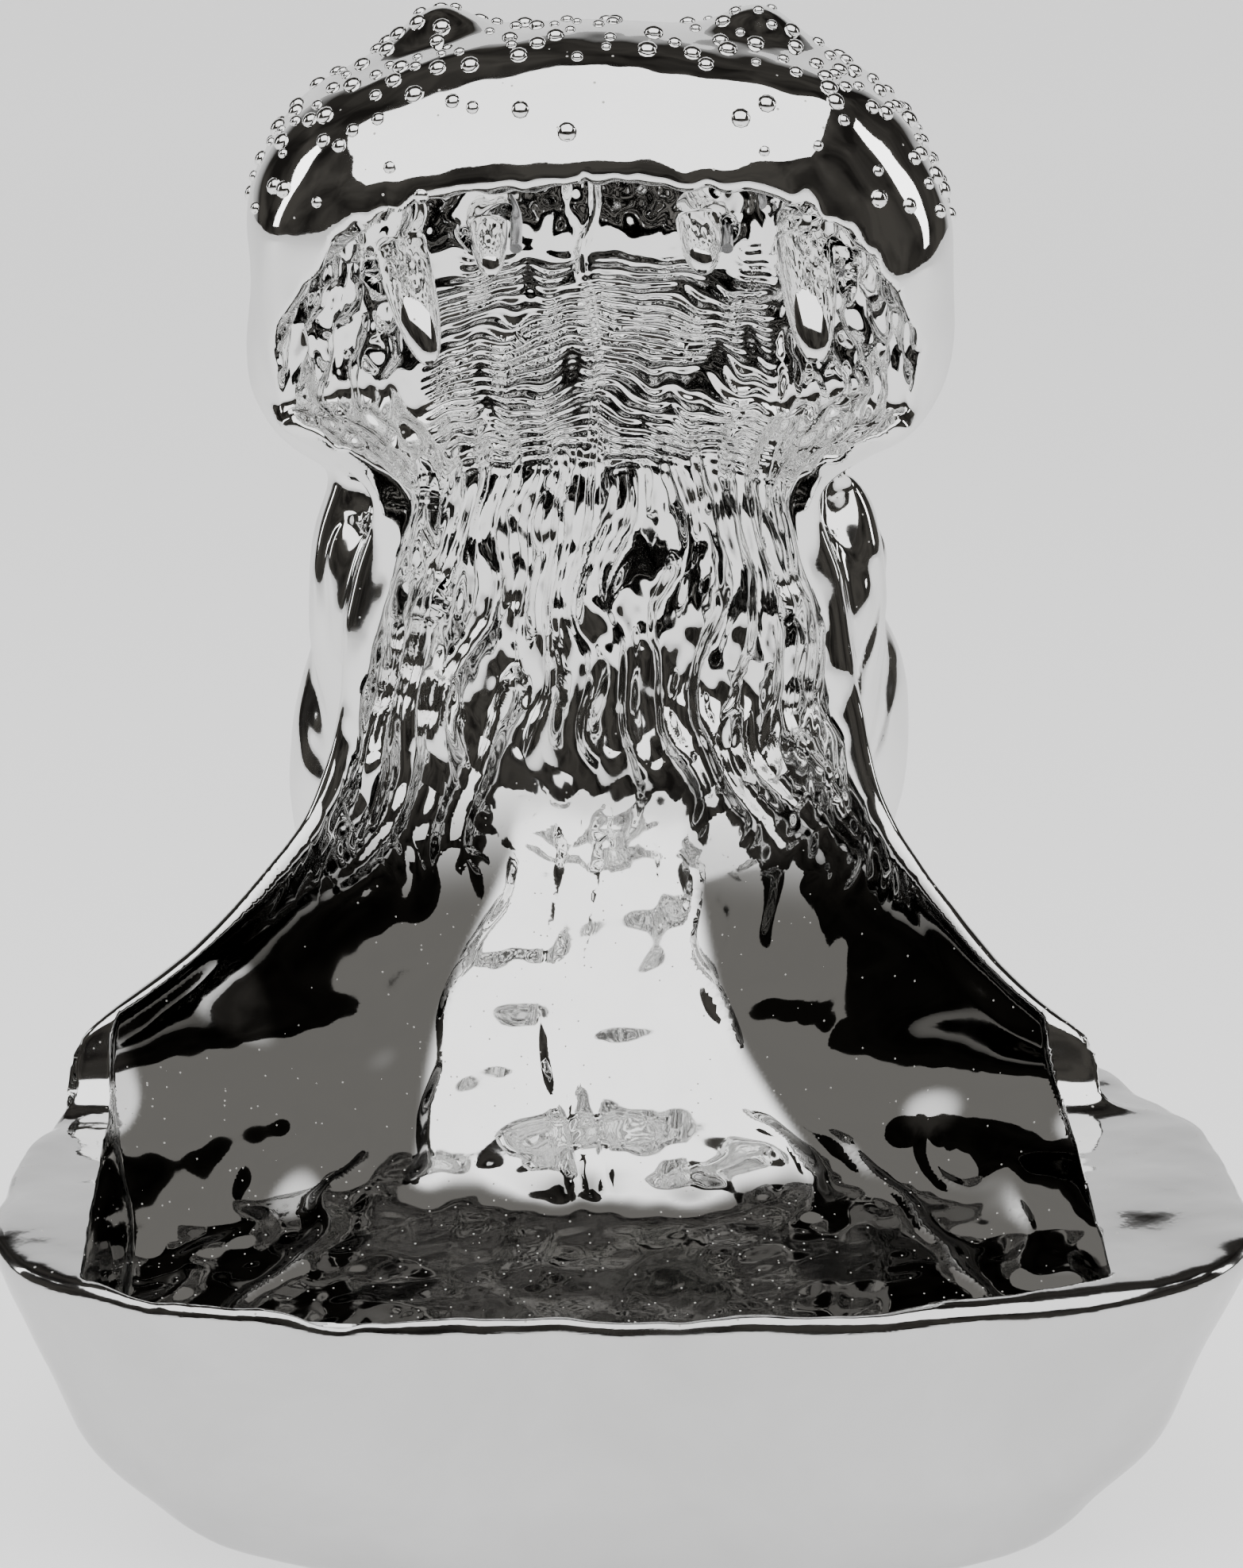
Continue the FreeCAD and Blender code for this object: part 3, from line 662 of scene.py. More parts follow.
# ---- relief of the plated skin -----------------------------------------------------------
class Relief:
    """What the modeller's hands left on the smooth form, as heights in millimetres."""

    FOLD_PITCH = 9.3
    RUGA_PITCH = 3.1

    def __init__(self, head: Head) -> None:
        """Draws the ripples.

        Args:
            head: the smooth form.
        """
        self.head = head
        self.sway = Ripple(46.0, 1)
        self.press = Ripple(16.0, 2)
        self.knead = Ripple(8.0, 3, (1.0, 1.0, 1.7))
        self.crumple = Ripple(4.6, 4, (1.0, 1.0, 1.5))
        self.meander = Ripple(52.0, 5)
        self.drift = Ripple(26.0, 6)

    def lining(self, p: np.ndarray) -> np.ndarray:
        """Relief inside the bowl, the mouth and the palate.

        Args:
            p: points in the sculptor's axes.

        Returns:
            How far the metal rises into the hollow.
        """
        x, y, z = p[:, 0] + self.head.lean(p[:, 2]), p[:, 1], p[:, 2]
        sway, press = self.sway(p), self.press(p)
        knead, crumple = self.knead(p), self.crumple(p)
        meander, drift = self.meander(p), self.drift(p)
        return (0.42 * sway + 0.13 * press + 0.03 * knead
                + self.throat(x, y, z, knead, crumple, meander, drift)
                + self.palate(x, z, knead, crumple, drift)
                + self.tongue(x, z, drift, press) * step(-76, -60, y)
                + self.floor(x, y, z, knead, press, drift))

    def throat(self, x: np.ndarray, y: np.ndarray, z: np.ndarray, knead: np.ndarray,
               crumple: np.ndarray, meander: np.ndarray, drift: np.ndarray) -> np.ndarray:
        """Long folds that run down the throat, and its crumpled skin.

        Args:
            x, y, z: places, with x measured from the bent middle line.
            knead, crumple, meander, drift: ripples at those places.

        Returns:
            How far the metal rises.
        """
        across = x / self.head.mouth_half(z) * 54.0 + 2.4 * meander + 1.1 * drift
        wave = 0.5 + 0.5 * np.cos(across * (2.0 * math.pi / self.FOLD_PITCH))
        fold = 2.3 * (wave ** 1.5 - 0.4) * (1.0 + 0.35 * drift)
        level = (step(112, 178, z) * 0.75 + 0.25) * step(98, 118, z) * step(248, 232, z)
        skin = (0.30 * knead + 0.11 * crumple) * step(146, 184, z) * step(256, 238, z)
        drips = 0.25 * np.abs(knead) * step(122, 140, z) * step(176, 150, z)
        return fold * level * step(-6, 16, y) + skin + drips

    def palate(self, x: np.ndarray, z: np.ndarray, knead: np.ndarray,
               crumple: np.ndarray, drift: np.ndarray) -> np.ndarray:
        """Ridges across the palate, its seam and the crumpled pouches of the lips.

        Args:
            x, z: places, with x measured from the bent middle line.
            knead, crumple, drift: ripples at those places.

        Returns:
            How far the metal rises.
        """
        place = z + 0.20 * np.abs(x) + 1.5 * drift + 0.5 * knead
        wave = 0.5 + 0.5 * np.cos(place * (2.0 * math.pi / self.RUGA_PITCH))
        broken = 0.75 + 0.35 * knead
        rugae = 1.05 * wave ** 1.3 * broken * step(47, 36, np.abs(x)) * step(228, 240, z) \
            * step(296, 282, z)
        arch = 1.4 * bell(z - 291.0 + 0.0035 * x * x, 5.0) * step(52, 40, np.abs(x))
        seam = -1.1 * bell(x + 1.5 + 1.2 * drift, 1.3) * step(232, 242, z)
        pouch = (0.8 * knead + 0.22 * crumple) * step(40, 50, np.abs(x)) * step(236, 250, z)
        gums = (0.3 * knead + 0.1 * crumple) * step(284, 296, z)
        return rugae + arch + seam + pouch + gums

    def tongue(self, x: np.ndarray, z: np.ndarray, drift: np.ndarray,
               press: np.ndarray) -> np.ndarray:
        """The tongue, a raised apron with rolled sides and a furrowed middle.

        Args:
            x, z: places, with x measured from the bent middle line.
            drift, press: ripples at those places.

        Returns:
            How far the metal rises.
        """
        part = np.clip((z - 68.0) / 66.0, 0.0, 1.0)
        half = 50.0 - 28.0 * part ** 0.9 + 1.8 * drift
        inside = half - np.abs(x - 1.0)
        ends = step(58, 74, z) * step(150, 126, z)
        plate = 2.0 * step(-3.0, 4.0, inside)
        roll = 1.2 * bell(inside - 3.0, 3.4)
        furrows = -1.5 * bell(x + 9.0 - 2.0 * part, 2.6) - 1.0 * bell(x + 2.0, 2.2) \
            - 0.7 * bell(x - 13.0 - 4.0 * part, 4.0)
        mounds = 0.25 * press + 0.9 * bell(x - 5.0, 9.0) * bell(z - 124.0, 9.0)
        crown = 5.5 * np.maximum(1.0 - (x / half) ** 2, 0.0) ** 1.5
        return (plate + roll + (crown + furrows + mounds) * step(0, 8, inside)) * ends

    def floor(self, x: np.ndarray, y: np.ndarray, z: np.ndarray, knead: np.ndarray,
              press: np.ndarray, drift: np.ndarray) -> np.ndarray:
        """Creases that run out from the tongue over the floor of the bowl.

        Args:
            x, y, z: places, with x measured from the bent middle line.
            knead, press, drift: ripples at those places.

        Returns:
            How far the metal rises.
        """
        low = step(84, 66, z)
        side = np.abs(x)
        run = 52.0 + 0.62 * (-14.0 - y) + 2.2 * drift
        crease = 1.7 * bell(side - run, 3.0) * step(6, -16, y) * step(-118, -96, y)
        second = 1.1 * bell(side - run - 22.0 - 2.0 * drift, 4.0) * step(0, -24, y) \
            * step(-120, -90, y)
        sump = 0.14 * press + 0.03 * knead
        return (crease + second + sump) * low

    def outside(self, p: np.ndarray) -> np.ndarray:
        """Relief on the outside of the head.

        Args:
            p: points in the sculptor's axes.

        Returns:
            How far the metal rises above the smooth form.
        """
        y, z = p[:, 1], p[:, 2]
        sway, press = self.sway(p), self.press(p)
        knead, drift = self.knead(p), self.drift(p)
        upper = step(84, 100, z)
        base = 0.45 * sway + (0.14 - 0.05 * upper) * press + 0.022 * knead
        edge = y - self.head.cheek_edge(z)
        creases = -1.0 * bell(edge - 13.0 - 2.0 * drift, 2.6) \
            - 0.8 * bell(edge - 24.0 - 2.5 * drift, 3.2)
        creases = creases * upper * step(246, 226, z)
        band = 0.9 * np.cos((z + 0.35 * y + 4.0 * drift) * (2.0 * math.pi / 24.0))
        rolls = band * step(60, 84, y) * step(96, 130, z) * step(285, 250, z)
        return base + creases + rolls


class ModelledHead:
    """The head's smooth form with its relief, gums, eyelids and ear roots."""

    def __init__(self, head: Head, teeth: Sequence["Tooth"], eyes: Sequence["Eye"]) -> None:
        """Keeps what the skin grows round.

        Args:
            head: the smooth form.
            teeth: the teeth, which stand in gums.
            eyes: the eyes, which lie between lids.
        """
        self.head = head
        self.relief = Relief(head)
        self.teeth = teeth
        self.eyes = eyes

    def parts(self, x: np.ndarray, y: np.ndarray,
              z: np.ndarray) -> tuple[np.ndarray, np.ndarray]:
        """Fields of the outside and of the hollow, with their relief.

        Args:
            x, y, z: places in the sculptor's axes.

        Returns:
            The two fields.
        """
        head = self.head
        p = np.stack([x, y, z], axis=1)
        hx = head.straight(x, z)
        upper = join(head.cheeks(hx, y, z), head.neck(hx, y, z), 16.0)
        upper = join(upper, head.features(hx, y, z), 9.0)
        upper = join(upper, head.muzzle(hx, y, z), 15.0)
        outer = join(head.hull(x, y, z), upper, 10.0) - self.relief.outside(p)
        for eye in self.eyes:
            outer = eye.lids(outer, x, y, z)
        return outer, head.mouth(hx, y, z) + self.relief.lining(p)

    def body(self, x: np.ndarray, y: np.ndarray, z: np.ndarray) -> np.ndarray:
        """The finished skin's field, negative inside the metal.

        Args:
            x, y, z: places in the sculptor's axes.

        Returns:
            The distance, negative inside.
        """
        outer, hollow = self.parts(x, y, z)
        whole = trim(outer, -hollow, 6.0)
        for tooth in self.teeth:
            whole = tooth.gum(whole, x, y, z)
        return whole

    def painted_shade(self, p: np.ndarray) -> np.ndarray:
        """How much painted shade each point gets, from 0 to 1: darkening painted into the
        hollow of the mouth, strongest low down, where shade falls.

        Args:
            p: points in the sculptor's axes.

        Returns:
            The painted shade of each.
        """
        x, y, z = p.T
        hx = self.head.straight(x, z)
        inside = step(4.0, 1.0, np.abs(self.head.mouth(hx, y, z)))
        part = np.clip((z - 68.0) / 66.0, 0.0, 1.0)
        half = 50.0 - 28.0 * part ** 0.9
        tongue = step(-3.0, 3.0, half - np.abs(hx - 1.0)) * step(64, 74, z) \
            * step(150, 132, z) * step(-76, -60, y)
        # painted shade: lighter in patches, full below 120 mm, none on the tongue or just
        # under the front of the rim
        patches = 1.0 - 0.45 * step(1.1, 1.7, -self.relief.sway(p))
        deep = step(168, 120, z) * patches
        lip = np.maximum(step(1.0, 7.0, self.head.jaw.rim(y) - z), step(-58, -46, y))
        return np.clip(inside * deep * (1.0 - tongue) * lip, 0.0, 1.0)

    def nodes(self, p: np.ndarray) -> np.ndarray:
        """Which casting each point of the skin belongs to.

        Args:
            p: points on the skin.

        Returns:
            An index for each point: the place of its casting in the list of skin pieces.
        """
        head = self.head
        x, y, z = p.T
        hx = head.straight(x, z)
        hull = head.hull(x, y, z)
        cheeks = join(head.cheeks(hx, y, z), head.features(hx, y, z), 9.0)
        neck, muzzle = head.neck(hx, y, z), head.muzzle(hx, y, z)
        outer = np.minimum.reduce([hull, cheeks, neck, muzzle])
        inner = -head.mouth(hx, y, z) > outer - 0.6
        part = np.clip((z - 68.0) / 66.0, 0.0, 1.0)
        tongue = (50.0 - 28.0 * part ** 0.9 + 2.5 > np.abs(hx - 1.0)) & (z > 62) & (z < 140)
        below = z < head.jaw.rim(y)
        inside = np.select([tongue & (y > -60), below, z < head.THROAT],
                           [SkinPart.TONGUE.value, SkinPart.LINING.value,
                            SkinPart.LINER.value], SkinPart.PALATE.value)
        side = np.where(x < 0.0, SkinPart.NECK_LEFT.value, SkinPart.NECK_RIGHT.value)
        outside = np.select([hull <= outer, muzzle <= outer, cheeks <= outer],
                            [SkinPart.JAW.value, SkinPart.MUZZLE.value,
                             SkinPart.LINER.value], side)
        return np.where(inner, inside, outside)


class SkinPart(Enum):
    """Pieces of the plated skin."""

    JAW = 0
    LINING = 1
    LINER = 2
    TONGUE = 3
    PALATE = 4
    MUZZLE = 5
    NECK_LEFT = 6
    NECK_RIGHT = 7


SKIN_NAMES = {SkinPart.JAW: ("jaw_bowl_skin", Node.JAW),
              SkinPart.LINING: ("jaw_bowl_lining", Node.JAW),
              SkinPart.LINER: ("mouth_skin", Node.LINER),
              SkinPart.TONGUE: ("tongue_skin", Node.TONGUE),
              SkinPart.PALATE: ("palate_skin", Node.PALATE),
              SkinPart.MUZZLE: ("muzzle_skin", Node.MUZZLE),
              SkinPart.NECK_LEFT: ("neck_skin_left", Node.NECK_LEFT),
              SkinPart.NECK_RIGHT: ("neck_skin_right", Node.NECK_RIGHT)}
# the finest castings, whose skin is made in a left and a right half
HALVED = (SkinPart.JAW, SkinPart.LINER, SkinPart.PALATE)


# ---- helpers for Blender -----------------------------------------------------------------
def to_frame(points: np.ndarray) -> np.ndarray:
    """Turns the sculptor's millimetres into the frame's metres."""
    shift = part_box(Node.NECK_LEFT.value)[1][1] / MM - NECK_BACK
    return (points + np.array([0.0, shift, 0.0])) * MM


def from_frame(points: np.ndarray) -> np.ndarray:
    """Turns the frame's metres into the sculptor's millimetres."""
    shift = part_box(Node.NECK_LEFT.value)[1][1] / MM - NECK_BACK
    return np.asarray(points, float) / MM - np.array([0.0, shift, 0.0])


def make_object(name: str, points: np.ndarray, faces: np.ndarray | Sequence[Sequence[int]],
                material: bpy.types.Material,
                normals: np.ndarray | None = None) -> bpy.types.Object:
    """Makes a smooth-shaded mesh object at the origin.

    Args:
        name: its name.
        points: its points, in the sculptor's millimetres.
        faces: its faces, by point numbers.
        material: what it's made of.
        normals: exact normals of the points, where they are known.

    Returns:
        The new object.
    """
    mesh = bpy.data.meshes.new(name)
    places = to_frame(points)
    if isinstance(faces, np.ndarray):
        count, sides = faces.shape
        mesh.vertices.add(len(places))
        mesh.vertices.foreach_set("co", places.astype(np.float32).ravel())
        mesh.loops.add(count * sides)
        mesh.loops.foreach_set("vertex_index", faces.astype(np.int32).ravel())
        mesh.polygons.add(count)
        mesh.polygons.foreach_set("loop_start", np.arange(0, count * sides, sides,
                                                          dtype=np.int32))
        mesh.update(calc_edges=True)
    else:
        mesh.from_pydata([tuple(v) for v in places], [], [tuple(f) for f in faces])
    mesh.validate()
    mesh.shade_smooth()
    if normals is not None:
        mesh.normals_split_custom_set_from_vertices(normals.astype(np.float32))
    mesh.materials.append(material)
    item = bpy.data.objects.new(name, mesh)
    bpy.context.scene.collection.objects.link(item)
    return item


def register(item: bpy.types.Object, slot: str, *nodes: str) -> None:
    """Attaches a piece to the head's body, hides the CAD nodes that it stands for, and logs
    its faces.

    Args:
        item: the piece.
        slot: not used.
        nodes: the CAD nodes that it stands for.
    """
    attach(item, BODY)
    if nodes:
        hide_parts(*nodes)
    LOG.info("%s: %d faces", item.name, len(item.data.polygons))


def unit(vector: Iterable[float]) -> np.ndarray:
    """A vector made one long."""
    vector = np.asarray(tuple(vector), float)
    return vector / np.linalg.norm(vector)


def loft(rings: Sequence[np.ndarray], start: np.ndarray | None,
         end: np.ndarray | None) -> tuple[np.ndarray, list[list[int]]]:
    """Skins closed rings, with a pole at each end that has one.

    Args:
        rings: rings of equally many points, anticlockwise about the way they go.
        start: pole before the first ring.
        end: pole after the last ring.

    Returns:
        Points and faces, with the faces pointing outwards.
    """
    count = len(rings[0])
    points = [np.concatenate(rings)]
    faces = []
    for row in range(len(rings) - 1):
        for k in range(count):
            a, b = row * count + k, row * count + (k + 1) % count
            faces.append([a, b, b + count, a + count])
    total = len(rings) * count
    if start is not None:
        points.append(start[None])
        faces += [[total, (k + 1) % count, k] for k in range(count)]
        total += 1
    if end is not None:
        points.append(end[None])
        base = (len(rings) - 1) * count
        faces += [[total, base + k, base + (k + 1) % count] for k in range(count)]
    return np.concatenate(points), faces


# ---- finishes ----------------------------------------------------------------------------
def new_tree(name: str, kind: str) -> bpy.types.NodeTree:
    """Makes an empty node tree."""
    return bpy.data.node_groups.new(name, kind)


def add(tree: bpy.types.NodeTree, kind: str, **values: object) -> bpy.types.Node:
    """Adds a node and sets its inputs and properties.

    Args:
        tree: the tree.
        kind: the node's type.
        values: property names, or input names with spaces as underscores.

    Returns:
        The node.
    """
    node = tree.nodes.new(kind)
    for key, value in values.items():
        if hasattr(node, key):
            setattr(node, key, value)
        else:
            node.inputs[key.replace("_", " ")].default_value = value
    return node


def math_node(tree: bpy.types.NodeTree, operation: str, a: object,
              b: object = 0.0, clamp: bool = False) -> bpy.types.NodeSocket:
    """Adds a maths node between two sockets or numbers.

    Args:
        tree: the tree.
        operation: Blender's name of the operation.
        a: the first socket or number.
        b: the second socket or number.
        clamp: whether the result is held between 0 and 1.

    Returns:
        The node's output.
    """
    node = tree.nodes.new("ShaderNodeMath")
    node.operation = operation
    node.use_clamp = clamp
    for socket, value in zip(node.inputs, (a, b)):
        if isinstance(value, bpy.types.NodeSocket):
            tree.links.new(value, socket)
        else:
            socket.default_value = value
    return node.outputs[0]


class PatternGroups:
    """Shader groups that more than one finish uses."""

    def __init__(self) -> None:
        """Builds each group once."""
        self.haze = self._haze()
        self.dust = self._dust()
        self.marks = self._marks()

    @staticmethod
    def _group(name: str, inputs: dict[str, float],
               outputs: Sequence[str]) -> tuple[bpy.types.NodeTree, bpy.types.Node,
                                                bpy.types.Node, bpy.types.Node]:
        """Makes a group with float sockets and its object coordinates.

        Args:
            name: the group's name.
            inputs: names of its inputs, with their usual values.
            outputs: names of its outputs.

        Returns:
            The tree, its input and output nodes, and the coordinates.
        """
        tree = new_tree(name, "ShaderNodeTree")
        for key, value in inputs.items():
            socket = tree.interface.new_socket(key, in_out="INPUT",
                                               socket_type="NodeSocketFloat")
            socket.default_value = value
        for key in outputs:
            tree.interface.new_socket(key, in_out="OUTPUT", socket_type="NodeSocketFloat")
        return (tree, tree.nodes.new("NodeGroupInput"), tree.nodes.new("NodeGroupOutput"),
                tree.nodes.new("ShaderNodeTexCoord"))

    def _haze(self) -> bpy.types.NodeTree:
        """Cloudy haze that plating leaves: patches between 0 and 1.

        Returns:
            The group.
        """
        tree, source, result, place = self._group(
            "Plating haze", {"Size": 0.03, "Contrast": 2.2, "Middle": 0.55}, ["Mask"])
        scale = math_node(tree, "DIVIDE", 1.0, source.outputs["Size"])
        noise = add(tree, "ShaderNodeTexNoise", Detail=4.0, Roughness=0.62, Distortion=0.4)
        tree.links.new(place.outputs["Object"], noise.inputs["Vector"])
        tree.links.new(scale, noise.inputs["Scale"])
        off = math_node(tree, "SUBTRACT", noise.outputs["Fac"], source.outputs["Middle"])
        gain = math_node(tree, "MULTIPLY", off, source.outputs["Contrast"])
        tree.links.new(math_node(tree, "ADD", gain, 0.35, True), result.inputs["Mask"])
        return tree

    def _dust(self) -> bpy.types.NodeTree:
        """Dust specks, thicker where the skin faces up.

        Returns:
            The group.
        """
        tree, source, result, place = self._group(
            "Dust specks", {"Spacing": 0.0022, "Share": 0.3, "Speck": 0.16}, ["Mask"])
        scale = math_node(tree, "DIVIDE", 1.0, source.outputs["Spacing"])
        cells = add(tree, "ShaderNodeTexVoronoi", Randomness=1.0)
        tree.links.new(place.outputs["Object"], cells.inputs["Vector"])
        tree.links.new(scale, cells.inputs["Scale"])
        near = math_node(tree, "LESS_THAN", cells.outputs["Distance"],
                         source.outputs["Speck"])
        colour = tree.nodes.new("ShaderNodeSeparateColor")
        tree.links.new(cells.outputs["Color"], colour.inputs["Color"])
        shape = tree.nodes.new("ShaderNodeNewGeometry")
        axes = tree.nodes.new("ShaderNodeSeparateXYZ")
        tree.links.new(shape.outputs["Normal"], axes.inputs[0])
        up = math_node(tree, "MAXIMUM", axes.outputs["Z"], 0.0)
        chance = math_node(tree, "MULTIPLY", up, source.outputs["Share"])
        there = math_node(tree, "LESS_THAN", colour.outputs["Red"], chance)
        tree.links.new(math_node(tree, "MULTIPLY", near, there), result.inputs["Mask"])
        return tree

    def _marks(self) -> bpy.types.NodeTree:
        """Faint strokes of the modeller's tools, and orange peel under the plating.

        Returns:
            The group.
        """
        tree, source, result, place = self._group(
            "Tool marks", {"Stroke": 0.5, "Peel": 0.5}, ["Height"])
        turn = add(tree, "ShaderNodeMapping")
        turn.inputs["Scale"].default_value = (60.0, 60.0, 420.0)
        turn.inputs["Rotation"].default_value = (0.10, 0.16, 0.0)
        tree.links.new(place.outputs["Object"], turn.inputs["Vector"])
        stroke = add(tree, "ShaderNodeTexNoise", Scale=1.0, Detail=3.0, Distortion=0.9)
        tree.links.new(turn.outputs["Vector"], stroke.inputs["Vector"])
        peel = add(tree, "ShaderNodeTexNoise", Scale=520.0, Detail=1.0)
        tree.links.new(place.outputs["Object"], peel.inputs["Vector"])
        a = math_node(tree, "MULTIPLY", stroke.outputs["Fac"], source.outputs["Stroke"])
        b = math_node(tree, "MULTIPLY", peel.outputs["Fac"], source.outputs["Peel"])
        tree.links.new(math_node(tree, "ADD", a, b), result.inputs["Height"])
        return tree


@dataclass(frozen=True)
class Finish:
    """A finish of the object's surfaces."""

    name: str
    colour: tuple[float, float, float]
    dull_colour: tuple[float, float, float]
    metal: float
    smooth: float                  # roughness of the clear skin
    hazy: float                    # roughness of the hazy patches
    haze_size: float
    haze_middle: float = 0.55
    stroke: float = 0.4
    peel: float = 0.4
    bump: float = 0.000012         # height of the marks, in metres
    dust: float = 0.12
    dust_spacing: float = 0.0022
    # colour of painted shade, laid over the recesses by a per-point attribute
    painted_shade: tuple[float, float, float] | None = None

    def build(self, groups: PatternGroups) -> bpy.types.Material:
        """Makes the material.

        Args:
            groups: the shared shader groups.

        Returns:
            The material.
        """
        material = bpy.data.materials.new(self.name)
        material.use_nodes = True
        tree = material.node_tree
        tree.nodes.clear()
        out = tree.nodes.new("ShaderNodeOutputMaterial")
        shader = tree.nodes.new("ShaderNodeBsdfPrincipled")
        tree.links.new(shader.outputs[0], out.inputs[0])
        haze = self._place(tree, groups.haze, Size=self.haze_size, Middle=self.haze_middle)
        dust = self._place(tree, groups.dust, Share=self.dust, Spacing=self.dust_spacing)
        marks = self._place(tree, groups.marks, Stroke=self.stroke, Peel=self.peel)
        clear = add(tree, "ShaderNodeMix", data_type="RGBA")
        self._colours(clear, self.colour, self.dull_colour)
        tree.links.new(haze.outputs["Mask"], clear.inputs[0])
        base = clear.outputs[2]
        # painted shade: the base colour is darkened towards this colour where the per-point
        # attribute marks the recesses
        if self.painted_shade:
            layer = add(tree, "ShaderNodeAttribute", attribute_name="painted_shade")
            shaded_colour = add(tree, "ShaderNodeMix", data_type="RGBA")
            self._colours(shaded_colour, self.colour, self.painted_shade)
            tree.links.new(base, shaded_colour.inputs[6])
            tree.links.new(layer.outputs["Fac"], shaded_colour.inputs[0])
            base = shaded_colour.outputs[2]
        speck = add(tree, "ShaderNodeMix", data_type="RGBA")
        self._colours(speck, self.colour, (0.62, 0.61, 0.58))
        tree.links.new(base, speck.inputs[6])
        tree.links.new(dust.outputs["Mask"], speck.inputs[0])
        tree.links.new(speck.outputs[2], shader.inputs["Base Color"])
        rough = math_node(tree, "MULTIPLY_ADD", haze.outputs["Mask"],
                          self.hazy - self.smooth)
        rough.node.inputs[2].default_value = self.smooth
        both = math_node(tree, "MULTIPLY_ADD", dust.outputs["Mask"], 0.5)
        tree.links.new(rough, both.node.inputs[2])
        tree.links.new(both, shader.inputs["Roughness"])
        metal = math_node(tree, "MULTIPLY_ADD", dust.outputs["Mask"], -self.metal)
        metal.node.inputs[2].default_value = self.metal
        tree.links.new(metal, shader.inputs["Metallic"])
        bump = add(tree, "ShaderNodeBump", Strength=1.0, Distance=self.bump)
        tree.links.new(marks.outputs["Height"], bump.inputs["Height"])
        tree.links.new(bump.outputs["Normal"], shader.inputs["Normal"])
        return material

    @staticmethod
    def _colours(node: bpy.types.Node, first: Sequence[float],
                 second: Sequence[float]) -> None:
        """Sets a mix node's two colours."""
        node.inputs[6].default_value = (*first, 1.0)
        node.inputs[7].default_value = (*second, 1.0)

    @staticmethod
    def _place(tree: bpy.types.NodeTree, group: bpy.types.NodeTree,
               **values: float) -> bpy.types.Node:
        """Places a group with its own values.

        Args:
            tree: the material's tree.
            group: the group.
            **values: the group's inputs, by name.

        Returns:
            Its node.
        """
        node = tree.nodes.new("ShaderNodeGroup")
        node.node_tree = group
        for key, value in values.items():
            node.inputs[key].default_value = value
        return node


class Finishes:
    """All the finishes of the object."""

    PLATING = Finish("Mirror plating", (0.93, 0.93, 0.925), (0.86, 0.86, 0.85), 1.0,
                     0.025, 0.10, 0.045, haze_middle=0.62)
    # the same mirror plating made darker: painted shade that makes the hull of the bowl read
    # greyer
    BOWL = Finish("Mirror plating of the bowl with painted shade", (0.63, 0.63, 0.63), (0.56, 0.56, 0.555),
                  1.0, 0.05, 0.22, 0.05, haze_middle=0.52, stroke=1.0, bump=0.00006)
    # its near-black second colour is painted shade for the hollow of the mouth
    LINING = Finish("Mirror plating of the lining", (0.92, 0.92, 0.915),
                    (0.84, 0.84, 0.83), 1.0, 0.03, 0.14, 0.03, haze_middle=0.56,
                    dust=0.22, dust_spacing=0.0016, painted_shade=(0.058, 0.056, 0.052))
    STEEL = Finish("Turned steel", (0.55, 0.55, 0.56), (0.42, 0.42, 0.43), 1.0, 0.24,
                   0.42, 0.004, stroke=1.2, bump=0.00002, dust=0.05)
    RUBBER = Finish("Moulded rubber", (0.028, 0.028, 0.029), (0.045, 0.044, 0.043), 0.0,
                    0.62, 0.8, 0.006, peel=1.4, bump=0.00005, dust=0.15)
    BOARD = Finish("Moulded base plastic", (0.035, 0.035, 0.037), (0.055, 0.054, 0.054),
                   0.0, 0.5, 0.68, 0.012, peel=1.2, bump=0.00004, dust=0.12)

    def __init__(self) -> None:
        """Builds the shared groups and the materials."""
        groups = PatternGroups()
        self.plating = self.PLATING.build(groups)
        self.bowl = self.BOWL.build(groups)
        self.lining = self.LINING.build(groups)
        self.steel = self.STEEL.build(groups)
        self.rubber = self.RUBBER.build(groups)
        self.board = self.BOARD.build(groups)


